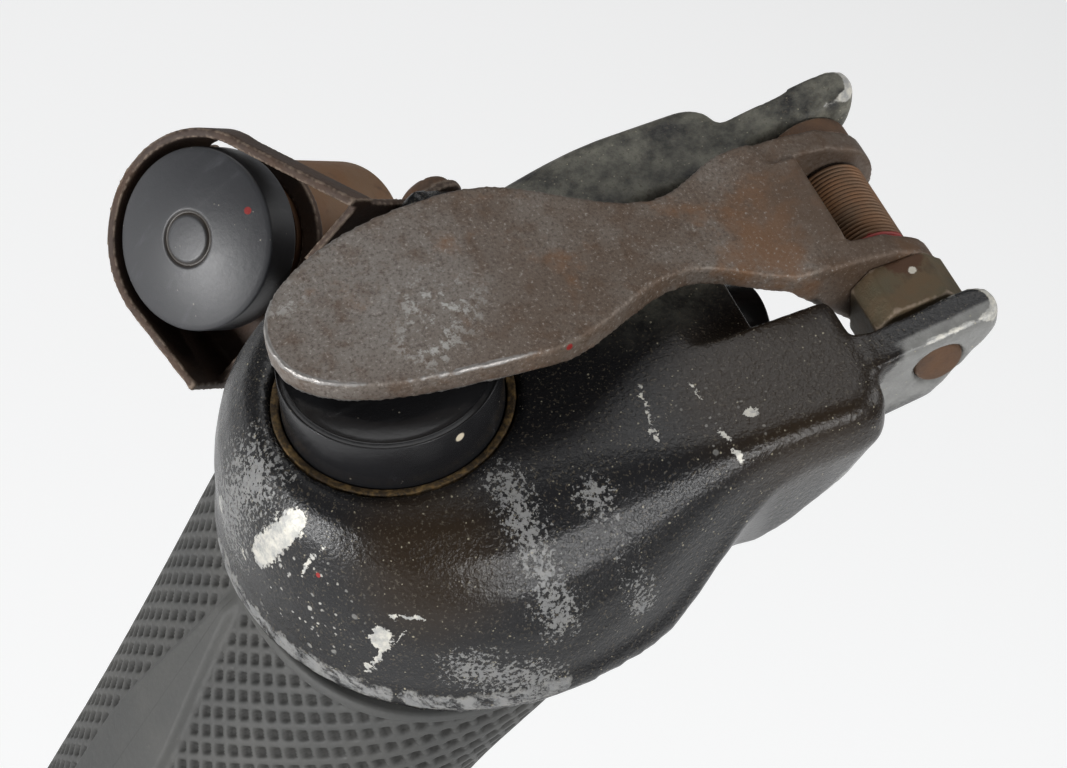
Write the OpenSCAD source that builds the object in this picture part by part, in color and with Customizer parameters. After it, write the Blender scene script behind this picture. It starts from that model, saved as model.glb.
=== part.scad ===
// Control stick grip: a cast head on a raked moulded grip, with a flip-over trigger lever,
// a top button, a guarded thumb button and a front button that the lever swings down to.
// Millimetres. X right, Y forward, Z up along the grip, origin at the mouth of the column socket.

/* [Grip] */
// Height of the seam between grip and head, on the grip axis
seam_h = 132; // [126:1:142]
// Lean of the head over the grip, degrees
rake = 33; // [31:1:35]
// Half width of the grip at its waist
waist_w = 18.5; // [18:0.25:20]
// Half width of the grip under the head
top_w = 22.8; // [22.4:0.1:23.2]
// Reach of the grip forward of its axis
front_reach = 14.8; // [14.6:0.1:15.4]
// Reach of the grip aft of its axis
aft_reach = 16.8; // [16.6:0.1:17]
// Height of the raised strip down the back
spine_h = 0.7; // [0.3:0.1:0.9]

/* [Column clamp] */
// Radius of the socket for the column tube
socket_r = 12.5; // [12:0.25:12.75]
// Depth of the socket
socket_l = 36; // [30:1:40]
// Outer radius of the clamp collar
collar_r = 17.6; // [17:0.2:18.4]
// Height of the clamp collar
collar_h = 30; // [28:1:32]
// Width of the clamp slit
slit_w = 2.4; // [1.6:0.2:3]

/* [Head] */
// Half width of the deck beside the slot
deck_w = 21.6; // [21:0.2:22]
// Half width of the bulb round the top button
bulb_w = 24.5; // [24:0.25:24.75]
// Height of the deck over the hinge pin
deck_z = 3.8; // [3.4:0.2:4.2]
// Inner face of the right hinge ear
ear_gap = 11.6; // [11.4:0.1:12]
// Width of the spacer beside the left hinge ear
spacer_l = 2.4; // [2:0.1:2.8]
// Thickness of a hinge ear at its top
ear_t = 4.6; // [4:0.1:5]
// Radius of the hinge pin
pin_r = 2.5; // [2:0.1:2.6]

/* [Trigger lever] */
// Half width of the paddle
paddle_w = 11; // [10:0.5:12]
// Half width of the neck
neck_w = 4.8; // [4:0.2:5.6]
// Reach of the paddle from the hinge pin
paddle_l = 59.5; // [57:0.5:62]
// Thickness of the lever plate
plate_t = 2.6; // [2:0.1:2.8]
// Side of the square block on the pin
block_w = 9.5; // [8.5:0.25:10]

/* [Buttons] */
// Radius of the top button
top_r = 10.5; // [10:0.1:10.6]
// Height of the top button over the deck
top_up = 5.2; // [4:0.1:5.2]
// Radius of the thumb button
thumb_r = 9.3; // [8.8:0.1:9.4]
// Radius of the front button
front_r = 5.4; // [5:0.1:5.6]
// Travel of the top button
top_go = 3; // [2:0.25:3]
// Travel of the thumb button
thumb_go = 2.5; // [2:0.25:2.5]
// Travel of the front button
front_go = 2.5; // [2:0.25:2.5]

/* [Clearances] */
// Radial clearance of a moving shaft in its hole
run_fit = 0.06; // [0.04:0.01:0.1]
// Gap between still parts that lie against each other
seat_gap = 0.1; // [0.05:0.05:0.15]
// Gap between parts that pass each other
pass_gap = 0.4; // [0.35:0.05:0.5]

/* [Hidden] */
$fn = 64;
// Seam centre to hinge pin, along and across the deck
seam_back = 46;
seam_drop = 16;
pin_y = seam_back * cos(rake) - seam_drop * sin(rake);
pin_z = seam_h + seam_back * sin(rake) + seam_drop * cos(rake);
// Plan of the head, from the pin
shoulder_y = -7;
bulb_y = -43.5;
bulb_l = 23.5;
rim_z = -seam_drop;
top_y = -49.3;
slot_y = -14;
lever_x = -3.5;
fork_w = 8.85;
fork_t = 2.8;
slot_l = lever_x - fork_w - pass_gap - 0.1;
slot_r = lever_x + fork_w + pass_gap + 0.3;
notch_y = -6.4;
ear_left = lever_x - fork_w - 2 * seat_gap - spacer_l;
slot_tilt = 18;
front_down = 12.6;
// Thumb switch, from the pin
thumb_x = -35.6;
thumb_y = -58.2;
thumb_z = -6.5;
thumb_tilt = 45;
thumb_yaw = 20;
pad_x = 10.6;
sheet = 1;
core_r = socket_r + 1.9;
neck_r = 11.5;
step_z = socket_l + 4;
flange_r = 17.6;
flange_t = 4;
wire_r = 7;
// Switches: cap radius, cap top, cap bottom, stem radius, body radius, body top, plate, chamber, floor, travel, curls
SW_TOP = [top_r, top_up, -4.8, 2.5, 10.9, -8.8, 3, 5.2, 1.2, top_go, 5];
SW_THUMB = [thumb_r, -1.2, -5.6, 2.3, 7, -9, 2.4, 4.8, 1.2, thumb_go, 3];
SW_FRONT = [front_r, 6.6, -3.2, 1.6, 5.6, -6.6, 2, 4.8, 1.2, front_go, 5];

function smooth(t) = t <= 0 ? 0 : t >= 1 ? 1 : t * t * (3 - 2 * t);

// Frames
module head_at() translate([0, 0, seam_h]) rotate([rake, 0, 0]) translate([0, seam_back, seam_drop]) children();
module top_at() head_at() translate([0, top_y, deck_z]) children();
module thumb_at() head_at() translate([thumb_x, thumb_y, thumb_z]) rotate([thumb_tilt, 0, 0])
    rotate([0, thumb_yaw, 0]) children();
module front_at() head_at() translate([lever_x, slot_y - front_down * sin(slot_tilt), deck_z - front_down * cos(slot_tilt)])
    rotate([-90 - slot_tilt, 0, 0]) children();
module along_x(x0, x1, r) translate([x0, 0, 0]) rotate([0, 90, 0]) cylinder(h = x1 - x0, r = r);
module side_prism(x0, x1) translate([x0, 0, 0]) rotate([90, 0, 90]) linear_extrude(x1 - x0) children();

// Rings of equal length, joined by triangles; mirrored rings close across, others as one flat face
function walls(n, k) = [for (j = [0 : k - 2], i = [0 : n - 1], h = [0, 1])
    let (a = j * n + i, b = j * n + (i + 1) % n) h == 0 ? [a, b, b + n] : [a, b + n, a + n]];
function across(n, at, up) = [for (i = [0 : n / 2 - 2], h = [0, 1])
    let (a = at + i, b = at + i + 1, c = at + n - 2 - i, d = at + n - 1 - i)
    up ? (h == 0 ? [a, b, c] : [a, c, d]) : (h == 0 ? [c, b, a] : [d, c, a])];

// Plan of the head: right half from the shoulder to the tail, then the mirror image
HEAD_RIGHT = concat(
    [for (a = [90 : -30 : 0]) [deck_w - 3 + 3 * cos(a), shoulder_y - 3 + 3 * sin(a)]],
    [for (y = [-13 : -3.05 : -42]) [deck_w + (bulb_w - deck_w) * smooth((-18 - y) / (-18 - bulb_y)), y]],
    [for (a = [0 : 8 : 80]) [bulb_w * cos(a), bulb_y - bulb_l * sin(a)]],
    [[bulb_w * cos(86.5), bulb_y - bulb_l * sin(86.5)]]);
HEAD_N = 2 * len(HEAD_RIGHT);
function head_pt(i) = i < HEAD_N / 2 ? HEAD_RIGHT[i]
    : let (p = HEAD_RIGHT[HEAD_N - 1 - i]) [-p[0], p[1]];
// The front of the head stands a little to the left of the bulb
function head_side(y) = -1.4 * (1 - smooth((-18 - y) / 25));
function head_mid(p) = [0, max(bulb_y, min(p[1], -22))];
function head_in(p, d) = let (v = p - head_mid(p)) p - v * d / norm(v);
function rise(p) = smooth((-16 - p[1]) / 18);
function sheer(p) = -1.5 - (seam_drop - 1.5) * rise(p);
function keel(p) = p[1] < -20 ? rim_z : rim_z + 0.68 * (p[1] + 20);
function round_in(p) = p[1] > bulb_y ? 2 + 10 * smooth((-18 - p[1]) / (-18 - bulb_y))
    : 12 - 6 * smooth((bulb_y - p[1]) / bulb_l);
function round_up(p) = 2.6 + 12.4 * smooth((-18 - p[1]) / 25);
function head_ring(k, p) =
    k == 0 ? [0.6 + 2.4 * (1 - rise(p)) + 13 * rise(p) * (1 - rise(p)), keel(p)]
    : k == 1 ? [-0.5 * rise(p), sheer(p)]
    : k == 2 ? [-0.5 * rise(p), sheer(p) + 0.3 + 1.7 * rise(p)]
    : k == 3 ? [0, sheer(p) + 0.5 + 2.3 * rise(p)]
    : let (a = (k - 4) * 18) [round_in(p) * (1 - cos(a)), deck_z - round_up(p) * (1 - sin(a))];
module head_loft() {
    pts = [for (k = [0 : 9], i = [0 : HEAD_N - 1])
        let (p = head_pt(i), r = head_ring(k, p), q = head_in(p, r[0])) [q[0] + head_side(q[1]), q[1], r[1]]];
    polyhedron(pts, concat(walls(HEAD_N, 10), across(HEAD_N, 0, false), across(HEAD_N, 9 * HEAD_N, true)),
        convexity = 6);
}
// Hinge ear: a side profile with a round nose, drafted on its outer face; x is its inner face
ear_up = deck_z + 2.1;
module ear(x, s) translate([x, 0, 0]) mirror([s < 0 ? 1 : 0, 0, 0]) difference() {
    intersection() {
        side_prism(-0.5, ear_t) polygon([[-9, deck_z - 0.8], [-6, deck_z + 0.15], [6.4, ear_up], [6.4, deck_z - 0.2],
            [-0.2, -6], [-4, -6.6], [-13, -8.4], [-13, -2]]);
        translate([0, 0, -20]) linear_extrude(40) union() {
            translate([ear_t / 2, 3.9]) circle(r = ear_t / 2);
            translate([-1, -20]) square([ear_t + 1, 23.9]);
        }
    }
    translate([ear_t, -30, ear_up]) rotate([0, 10, 0]) translate([0, 0, -40]) cube([20, 60, 60]);
}
module guard_pad() intersection() {
    translate([thumb_x, thumb_y, thumb_z]) rotate([thumb_tilt, 0, 0]) rotate([0, thumb_yaw, 0])
        translate([pad_x + seat_gap, 3, -20.8]) cube([13, 15.6, 11.6]);
    translate([-60, -80, rim_z]) cube([60, 60, 1.6 - rim_z]);
}

module head_casting() color([0.06, 0.06, 0.065]) difference() {
    union() {
        head_at() {
            head_loft();
            ear(ear_gap, 1);
            ear(ear_left, -1);
            guard_pad();
        }
    }
    head_at() {
        // Slot for the lever, its scoop, and the notch for the block
        side_prism(slot_l, slot_r) union() {
            translate([slot_y, deck_z]) rotate(-slot_tilt) translate([0, -60]) square([70, 90]);
            translate([slot_y - 1, deck_z + 12.2]) circle(r = 14);
        }
        translate([ear_left, notch_y, -40]) cube([ear_gap - ear_left, 40, 80]);
        along_x(-30, 30, pin_r);
        // Seat of the top switch and of its ring
        translate([0, top_y, deck_z - 16.8 - 1.4 - seat_gap]) cylinder(h = 40, r = SW_TOP[4] + seat_gap);
        translate([0, top_y, deck_z - 1.6]) cylinder(h = 10, r = SW_TOP[4] + 0.7);
        for (p = HEAD_BOLTS) translate([p[0], p[1], rim_z - 1]) cylinder(h = 8.5, r = 1.6);
    }
    translate([0, 0, seam_h - 10]) cylinder(h = 16, r = wire_r);
    front_at() translate([0, 0, switch_end(SW_FRONT) - seat_gap]) cylinder(h = 40, r = SW_FRONT[4] + seat_gap);
    head_at() translate([lever_x, -27, -5]) rotate([-49, 0, 0]) translate([0, 0, -18]) cylinder(h = 18, r = 2);
    thumb_at() for (p = GUARD_BOLTS) translate([0, p[0], p[1]]) along_x(pad_x - 2, pad_x + 8.5, 1.5);
}
HEAD_BOLTS = [[14.2, -46], [-14.2, -46], [8.5, -34.5]];
GUARD_BOLTS = [[15.2, -17], [7.4, -15.4]];
function switch_end(s) = s[5] - s[6] - s[7] - s[8];

// Grip
grip_z1 = seam_h + 16;
function grip_a(z) = let (t = (z - collar_h) / (seam_h - collar_h))
    waist_w + (top_w - waist_w) * smooth((t - 0.55) / 0.45) + 1.4 * (1 - smooth(t / 0.4));
// The widest line lies aft of the axis, and the front is the pointed end of the egg
function grip_egg(z) = let (t = (z - collar_h) / (seam_h - collar_h)) smooth(t / 0.4) * (1 - 0.7 * smooth((t - 0.82) / 0.24));
function grip_f(z) = let (t = (z - collar_h) / (seam_h - collar_h))
    front_reach + 2.4 * (1 - smooth(t / 0.35)) + 2.7 * smooth((t - 0.86) / 0.24);
function grip_b(z) = let (t = (z - collar_h) / (seam_h - collar_h))
    aft_reach + 2.2 * (1 - smooth(t / 0.35)) + 1.4 * (1 - smooth((t - 0.55) / 0.35));
GRIP_A = concat([-90, -80, -77.5], [for (a = [-70 : 10 : 90]) a]);
function pw(v, e) = v < 0 ? -pow(-v, e) : pow(v, e);
function grip_pt(a, z, s) = let (
    up = a < -79 ? spine_h : 0,
    y0 = -3.5 * grip_egg(z),
    e = a < 0 ? 0.9 : 0.9 + 0.25 * grip_egg(z),
    x = (grip_a(z) + up) * pw(cos(a), e),
    y = y0 + (a < 0 ? grip_b(z) + up + y0 : grip_f(z) - y0) * pw(sin(a), e))
    [s * (x < seat_gap ? seat_gap : x), y, z];
GRIP_Z = [for (i = [0 : 12]) collar_h + (grip_z1 - collar_h) * i / 12];
module grip_half(s) {
    m = len(GRIP_A);
    pts = [for (z = GRIP_Z, i = [0 : m - 1]) grip_pt(GRIP_A[s > 0 ? i : m - 1 - i], z, s)];
    n = len(GRIP_Z);
    polyhedron(pts, concat([for (f = walls(m, n)) [f[2], f[1], f[0]]],
        [[for (i = [0 : m - 1]) i]], [[for (i = [m - 1 : -1 : 0]) (n - 1) * m + i]]), convexity = 6);
}
SHELL_BOLTS = [collar_h + 18, collar_h + 62];
module grip_shell(s) difference() {
    grip_half(s);
    cylinder(h = step_z + seat_gap, r = core_r + seat_gap);
    cylinder(h = 400, r = neck_r + seat_gap);
    head_at() translate([-60, -150, rim_z - seat_gap]) cube([120, 200, 90]);
    head_at() translate([0, -seam_back, rim_z - flange_t - 3.4]) cylinder(h = 40, r = flange_r + seat_gap);
    for (z = SHELL_BOLTS) translate([0, 0, z]) {
        along_x(s > 0 ? 0 : -40, s > 0 ? 40 : 0, 1.9 + seat_gap);
        along_x(s > 0 ? waist_w - 2.6 : -40, s > 0 ? 40 : -waist_w + 2.6, 3.8 + seat_gap);
    }
}
module grip_shell_left() color([0.17, 0.17, 0.175]) grip_shell(-1);
module grip_shell_right() color([0.17, 0.17, 0.175]) grip_shell(1);

module grip_core() color([0.62, 0.63, 0.64]) difference() {
    union() {
        rotate_extrude($fn = 96) polygon([[0, 0], [core_r, 0], [core_r, step_z], [neck_r, step_z],
            [neck_r, seam_h + 14], [0, seam_h + 14]]);
        head_at() translate([0, -seam_back, rim_z - flange_t - seat_gap]) cylinder(h = flange_t, r = flange_r);
    }
    head_at() translate([-60, -150, rim_z - seat_gap]) cube([120, 200, 90]);
    translate([0, 0, -1]) cylinder(h = socket_l + 1, r = socket_r, $fn = 96);
    cylinder(h = seam_h + 40, r = wire_r);
    translate([-slit_w / 2, 0, -1]) cube([slit_w, 60, collar_h - 3]);
    head_at() for (p = HEAD_BOLTS) translate([p[0], p[1], rim_z - flange_t - seat_gap]) {
        translate([0, 0, -1]) cylinder(h = 10, r = 1.6);
        translate([0, 0, -8]) cylinder(h = 8, r = 2.8 + seat_gap);
    }
    for (z = SHELL_BOLTS) translate([0, 0, z]) along_x(-40, 40, 1.9 + seat_gap / 2);
}
CLAMP_Y = collar_r + 4.6;
CLAMP_Z = [7.4, 20.4];
// Open ring that draws the core's slit foot onto the column
module clamp_collar() color([0.62, 0.63, 0.64]) difference() {
    union() {
        rotate_extrude($fn = 96) polygon([[0, 0], [collar_r - 1, 0], [collar_r, 1], [collar_r, collar_h - 1 - seat_gap],
            [collar_r - 1, collar_h - seat_gap], [0, collar_h - seat_gap]]);
        for (z = CLAMP_Z) translate([0, CLAMP_Y, z]) along_x(-8, 8, 4.8);
        for (z = CLAMP_Z) translate([-8, 8, z - 4.8]) cube([16, CLAMP_Y - 8, 9.6]);
    }
    translate([0, 0, -1]) cylinder(h = collar_h + 2, r = core_r + seat_gap / 2, $fn = 96);
    translate([-slit_w / 2, 0, -1]) cube([slit_w, 60, collar_h + 2]);
    for (z = CLAMP_Z) translate([0, CLAMP_Y, z]) along_x(-20, 20, 2 + seat_gap);
}

module shell_screws() color([0.42, 0.4, 0.38]) for (z = SHELL_BOLTS, s = [-1, 1])
    translate([0, 0, z]) mirror([s < 0 ? 1 : 0, 0, 0]) difference() {
        union() {
            along_x(neck_r - 2.4, waist_w - 2, 1.9);
            along_x(waist_w - 2.6 + seat_gap, waist_w - 0.35, 3.8);
        }
        translate([waist_w - 1.25, -5, -0.5]) cube([3, 10, 1]);
    }
module head_screws() color([0.42, 0.4, 0.38]) head_at() for (p = HEAD_BOLTS) translate([p[0], p[1], 0]) difference() {
    union() {
        translate([0, 0, rim_z - flange_t - 0.2]) cylinder(h = flange_t + 7, r = 1.6 - seat_gap / 2);
        translate([0, 0, rim_z - flange_t - seat_gap - 2.6]) cylinder(h = 2.6, r = 2.8);
    }
    translate([0, 0, rim_z - flange_t - 4]) cylinder(h = 2.4, r = 1.3, $fn = 6);
}
module clamp_screws() color([0.42, 0.4, 0.38]) for (z = CLAMP_Z) translate([0, CLAMP_Y, z]) difference() {
    union() {
        along_x(-13, 8.2, 2);
        along_x(8 + seat_gap, 11.4, 4);
    }
    translate([10.2, -5, -0.6]) cube([3, 10, 1.2]);
}
module clamp_nuts() color([0.42, 0.4, 0.38]) for (z = CLAMP_Z) translate([-8 - seat_gap - 3.4, CLAMP_Y, z])
    rotate([0, 90, 0]) difference() {
        cylinder(h = 3.4, r = 4.2, $fn = 6);
        translate([0, 0, -1]) cylinder(h = 6, r = 2 + seat_gap / 2);
    }

// Hinge
module hinge_pin() color([0.36, 0.26, 0.2]) head_at() along_x(ear_left - 3.4, ear_gap + 3.4, pin_r - seat_gap / 5);

function lever_top(y) = 6.9 + 5.8 * smooth((-4 - y) / 42) - 0.7 * pow(max(0, (-46 - y) / 13.5), 2);
paddle_y = -36;
fork_in = fork_w - fork_t - 0.5;
LEVER_PLAN = concat(
    [[fork_in, -3.8], [fork_in, -6.4], [fork_w, -7.2], [fork_w, -9]],
    [for (i = [1 : 6]) let (t = i / 6) [fork_w + (neck_w - fork_w) * smooth(t), -9 - 10.5 * t]],
    [for (i = [1 : 7]) let (t = i / 7) [neck_w + (paddle_w - neck_w) * smooth(t), -19.5 + (paddle_y + 19.5) * t]],
    [for (a = [10 : 10 : 80]) [paddle_w * pow(cos(a), 0.88), paddle_y - (paddle_l + paddle_y) * pow(sin(a), 0.88)]]);
LEVER_Y = [for (i = [0 : 18]) -3.6 - (paddle_l - 3.4) * i / 18];
module lever_ear(x0) side_prism(x0, x0 + fork_t) union() {
    circle(r = 5);
    polygon([[1.6, 4.7], [0, 5.8], [-4, lever_top(-4) - 0.4], [-10.4, lever_top(-10.4) - 0.4],
        [-10.4, lever_top(-10.4) - plate_t - 0.4], [-4.4, -2.3], [0, 0]]);
}
module trigger_lever() color([0.44, 0.36, 0.3]) head_at() difference() {
    union() {
        intersection() {
            translate([lever_x, 0, -5]) linear_extrude(30) polygon(concat(LEVER_PLAN,
                [[0, -paddle_l]], [for (i = [len(LEVER_PLAN) - 1 : -1 : 0]) [-LEVER_PLAN[i][0], LEVER_PLAN[i][1]]]));
            side_prism(lever_x - 20, lever_x + 20) polygon(concat([for (y = LEVER_Y) [y, lever_top(y)]],
                [for (i = [18 : -1 : 0]) [LEVER_Y[i], lever_top(LEVER_Y[i]) - plate_t]]));
        }
        lever_ear(lever_x - fork_w);
        lever_ear(lever_x + fork_w - fork_t);
    }
    along_x(-30, 30, pin_r + run_fit);
}
module hinge_block() color([0.4, 0.37, 0.3]) head_at() difference() {
    h = block_w / 2;
    c = h - 2;
    side_prism(lever_x + fork_w, ear_gap - pass_gap)
        polygon([[h, -c], [h, c], [c, h], [-c, h], [-h, c], [-h, -c], [-c, -h], [c, -h]]);
    along_x(-30, 30, pin_r + run_fit);
}

module hinge_spacer() color([0.4, 0.28, 0.2]) head_at() difference() {
    along_x(ear_left + seat_gap, ear_left + seat_gap + spacer_l, 4.6);
    along_x(-30, 30, pin_r + seat_gap / 5);
}

// Wound wire: every station is a place with the two directions of its ring
function wire_ring(p, n, b, r) = [for (i = [0 : 5]) p + r * (cos(60 * i) * n + sin(60 * i) * b)];
module wire(st, r) {
    n = len(st);
    polyhedron([for (s = st) each wire_ring(s[0], s[1], s[2], r)], concat([for (f = walls(6, n)) [f[2], f[1], f[0]]],
        [[0, 1, 2], [0, 2, 3], [0, 3, 4], [0, 4, 5]],
        [for (f = [[2, 1, 0], [3, 2, 0], [4, 3, 0], [5, 4, 0]]) [for (i = f) i + (n - 1) * 6]]), convexity = 10);
}
function least_gap(st, d) = min([for (i = [0 : len(st) - 6], j = [i + 5 : len(st) - 1])
    norm(st[i][0] - st[j][0]) - d]);
function er(a) = [cos(a), sin(a), 0];
function et(a) = [-sin(a), cos(a), 0];
// Compression spring: straight ends of one wire diameter, square to the seats
function coil(rc, z0, z1, d, turns) = let (n = turns * 8, h = z1 - z0 - 2 * d) concat(
    [[[rc, 0, z0], er(0), et(0)]],
    [[[rc, 0, z0 + d], er(0), (et(0) - [0, 0, 1]) * 1.2 / sqrt(2)]],
    [for (i = [1 : n - 1]) let (a = i * 45) [rc * er(a) + [0, 0, z0 + d + h * i / n], er(a), [0, 0, -1]]],
    [[[rc, 0, z1 - d], er(0), (et(0) - [0, 0, 1]) * 1.2 / sqrt(2)]],
    [[[rc, 0, z1], er(0), et(0)]]);
module coil_spring(rc, z0, z1, d, turns) {
    st = coil(rc, z0, z1, d, turns);
    echo("least gap of a switch spring to itself", least_gap(st, d));
    wire(st, d / 2);
}
// Hinge spring: one end square to the lever ear, the other square to the pin
hs_d = 0.7;
hs_r = pin_r + 0.85;
hs_l = 2 * fork_w - 2 * fork_t - 0.6;
HINGE_WIRE = let (n = 72, z0 = 0.06, h = hs_l - z0 - hs_d) concat(
    [[[hs_r, 0, z0], er(0), et(0)]],
    [[[hs_r, 0, z0 + hs_d], er(0), (et(0) - [0, 0, 1]) * 1.2 / sqrt(2)]],
    [for (i = [1 : n - 1]) let (a = i * 45) [hs_r * er(a) + [0, 0, z0 + hs_d + h * i / n], er(a), [0, 0, -1]]],
    [[[hs_r, 0, z0 + hs_d + h], (er(0) + et(0)) * 1.2 / sqrt(2), [0, 0, -1]]],
    [[[pin_r + 0.08, 0, z0 + hs_d + h], et(0), [0, 0, -1]]]);
module hinge_spring() color([0.38, 0.28, 0.22]) head_at() {
    echo("least gap of the hinge spring to itself", least_gap(HINGE_WIRE, hs_d));
    translate([lever_x - fork_w + fork_t, 0, 0]) rotate([0, 90, 0]) wire(HINGE_WIRE, hs_d / 2);
}

// Switches, each along its own axis with its mouth at zero
function spring_r(s) = s[3] + 1.2;
function cap_roof(s) = s[1] - 2.4;
module cap(s) difference() {
    union() {
        translate([0, 0, s[2]]) cylinder(h = s[1] - s[2], r = s[0]);
        translate([0, 0, s[5] - s[6] - 1]) cylinder(h = cap_roof(s) - s[5] + s[6] + 1.5, r = s[3]);
    }
    translate([0, 0, s[2] - 1]) difference() {
        cylinder(h = cap_roof(s) - s[2] + 1, r = spring_r(s) + 1);
        translate([0, 0, -20]) cylinder(h = 60, r = s[3]);
    }
}
module switch_body(s) difference() {
    translate([0, 0, switch_end(s)]) cylinder(h = s[5] - switch_end(s), r = s[4]);
    translate([0, 0, s[5] - s[6] - s[7]]) cylinder(h = s[7], r = s[4] - 1.2);
    translate([0, 0, s[5] - s[6] - 1]) cylinder(h = 20, r = s[3] + run_fit);
    for (x = [-1, 1]) translate([x * post_x(s), 0, switch_end(s) - 1]) cylinder(h = s[8] + 2, r = 0.9 + seat_gap / 5);
}
function post_x(s) = s[3] + 1.4;
module posts(s) for (x = [-1, 1]) translate([x * post_x(s), 0, switch_end(s)]) {
    cylinder(h = s[8] + s[7] - s[9] - 1.4, r = 0.9);
    translate([0, 0, s[8] + seat_gap / 2]) cylinder(h = 0.6, r = 1.3);
}
module bridge(s) difference() {
    translate([0, 0, s[5] - s[6] - 1.2]) cylinder(h = 0.9, r = min(s[3] + 3, s[4] - 1.7));
    translate([0, 0, s[5] - s[6] - 4]) cylinder(h = 8, r = s[3] + seat_gap / 5);
}
module switch_coil(s) coil_spring(spring_r(s), s[5] + 0.06, cap_roof(s) - 0.06, 0.7, s[10]);

module top_switch_body() color([0.2, 0.12, 0.07]) top_at() switch_body(SW_TOP);
module top_contacts() color([0.78, 0.6, 0.25]) top_at() posts(SW_TOP);
module top_spring() color([0.6, 0.6, 0.6]) top_at() switch_coil(SW_TOP);
module top_bridge() color([0.78, 0.6, 0.25]) top_at() bridge(SW_TOP);
module top_button() color([0.05, 0.05, 0.05]) top_at() difference() {
    cap(SW_TOP);
    // Finger dish
    translate([0, 0, top_up + 39.2]) sphere(r = 40, $fn = 96);
}
module top_seal_ring() color([0.5, 0.34, 0.14]) top_at() translate([0, 0, -1.6 + seat_gap]) difference() {
    cylinder(h = 1.3, r = SW_TOP[4] + 0.7 - seat_gap);
    translate([0, 0, -1]) cylinder(h = 4, r = top_r + 0.12);
}
module thumb_switch_body() color([0.2, 0.12, 0.07]) thumb_at() switch_body(SW_THUMB);
module thumb_contacts() color([0.78, 0.6, 0.25]) thumb_at() posts(SW_THUMB);
module thumb_spring() color([0.6, 0.6, 0.6]) thumb_at() switch_coil(SW_THUMB);
module thumb_bridge() color([0.78, 0.6, 0.25]) thumb_at() bridge(SW_THUMB);
module thumb_button() color([0.2, 0.2, 0.21]) thumb_at() {
    dome_r = (thumb_r * thumb_r + 1.6 * 1.6) / 3.2;
    difference() {
        union() {
            cap(SW_THUMB);
            intersection() {
                translate([0, 0, SW_THUMB[1] + 1.6 - dome_r]) sphere(r = dome_r, $fn = 128);
                translate([0, 0, SW_THUMB[1] - 0.5]) cylinder(h = 4, r = thumb_r - 0.3);
            }
        }
        // Engraved ring
        translate([0, 0, SW_THUMB[1] + 1.2]) difference() {
            cylinder(h = 2, r = 2.9);
            translate([0, 0, -1]) cylinder(h = 4, r = 2.4);
        }
    }
}
module front_switch_body() color([0.2, 0.12, 0.07]) front_at() switch_body(SW_FRONT);
module front_contacts() color([0.78, 0.6, 0.25]) front_at() posts(SW_FRONT);
module front_spring() color([0.6, 0.6, 0.6]) front_at() switch_coil(SW_FRONT);
module front_bridge() color([0.78, 0.6, 0.25]) front_at() bridge(SW_FRONT);
module front_button() color([0.05, 0.05, 0.05]) front_at() {
    dome_r = (front_r * front_r + 1) / 2;
    cap(SW_FRONT);
    intersection() {
        translate([0, 0, SW_FRONT[1] + 1 - dome_r]) sphere(r = dome_r, $fn = 96);
        translate([0, 0, SW_FRONT[1] - 0.4]) cylinder(h = 4, r = front_r - 0.2);
    }
}

// Thumb guard: a bent sheet hoop, a foot on the head's pad and a tongue that carries the switch
guard_r = thumb_r + 0.9;
guard_lean = 23;
tongue_z = SW_THUMB[5] - 0.6 - sheet;
can_r = 8.2;
module guard_plan(r, x1) {
    q = r - 0.03;
    union() {
        circle(r = r);
        polygon([[0, -q], [x1, -q], [x1, q / cos(guard_lean) + x1 * tan(guard_lean)],
            [-q * sin(guard_lean), q * cos(guard_lean)]]);
    }
}
module thumb_guard() color([0.3, 0.22, 0.17]) thumb_at() difference() {
    union() {
        // Hoop, cut aslant so that its lower leg is the deeper one
        difference() {
            translate([0, 0, -20]) linear_extrude(18.8) difference() {
                guard_plan(guard_r + sheet, pad_x);
                guard_plan(guard_r, pad_x + 3);
            }
            intersection() {
                translate([0, 0, -11.8]) rotate([34, 0, 0]) translate([-40, -40, -40]) cube([80, 80, 40]);
                translate([-40, -40, -44.6]) cube([80, 80, 40]);
            }
        }
        side_prism(pad_x - 0.9, pad_x) union() {
            translate([-guard_r - sheet, -12]) square([guard_r + sheet + 8, 6.2]);
            translate([4.6, -19.2]) square([11.6, 7.6]);
            translate([7.4, -13]) square([8.6, 10.4]);
            for (p = GUARD_BOLTS) translate(p) circle(r = 3.7);
        }
        translate([0, 0, tongue_z]) linear_extrude(sheet) union() {
            circle(r = can_r + 1);
            intersection() {
                guard_plan(guard_r + 0.3, pad_x);
                translate([-20, -30]) square([40, 34]);
            }
        }
    }
    for (p = GUARD_BOLTS) translate([0, p[0], p[1]]) along_x(0, 30, 1.6);
    translate([0, 0, -20]) cylinder(h = 14, r = SW_THUMB[4] + seat_gap);
}
module thumb_switch_can() color([0.36, 0.24, 0.17]) thumb_at() difference() {
    union() {
        translate([0, 0, -27]) cylinder(h = 27 + tongue_z - seat_gap, r = can_r);
        intersection() {
            translate([0, 0, -19.8]) sphere(r = sqrt(7.2 * 7.2 + can_r * can_r), $fn = 96);
            translate([0, 0, -40]) cylinder(h = 13.5, r = can_r);
        }
    }
    translate([0, 0, switch_end(SW_THUMB) - 1]) cylinder(h = 20, r = SW_THUMB[4] + seat_gap);
}
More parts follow.
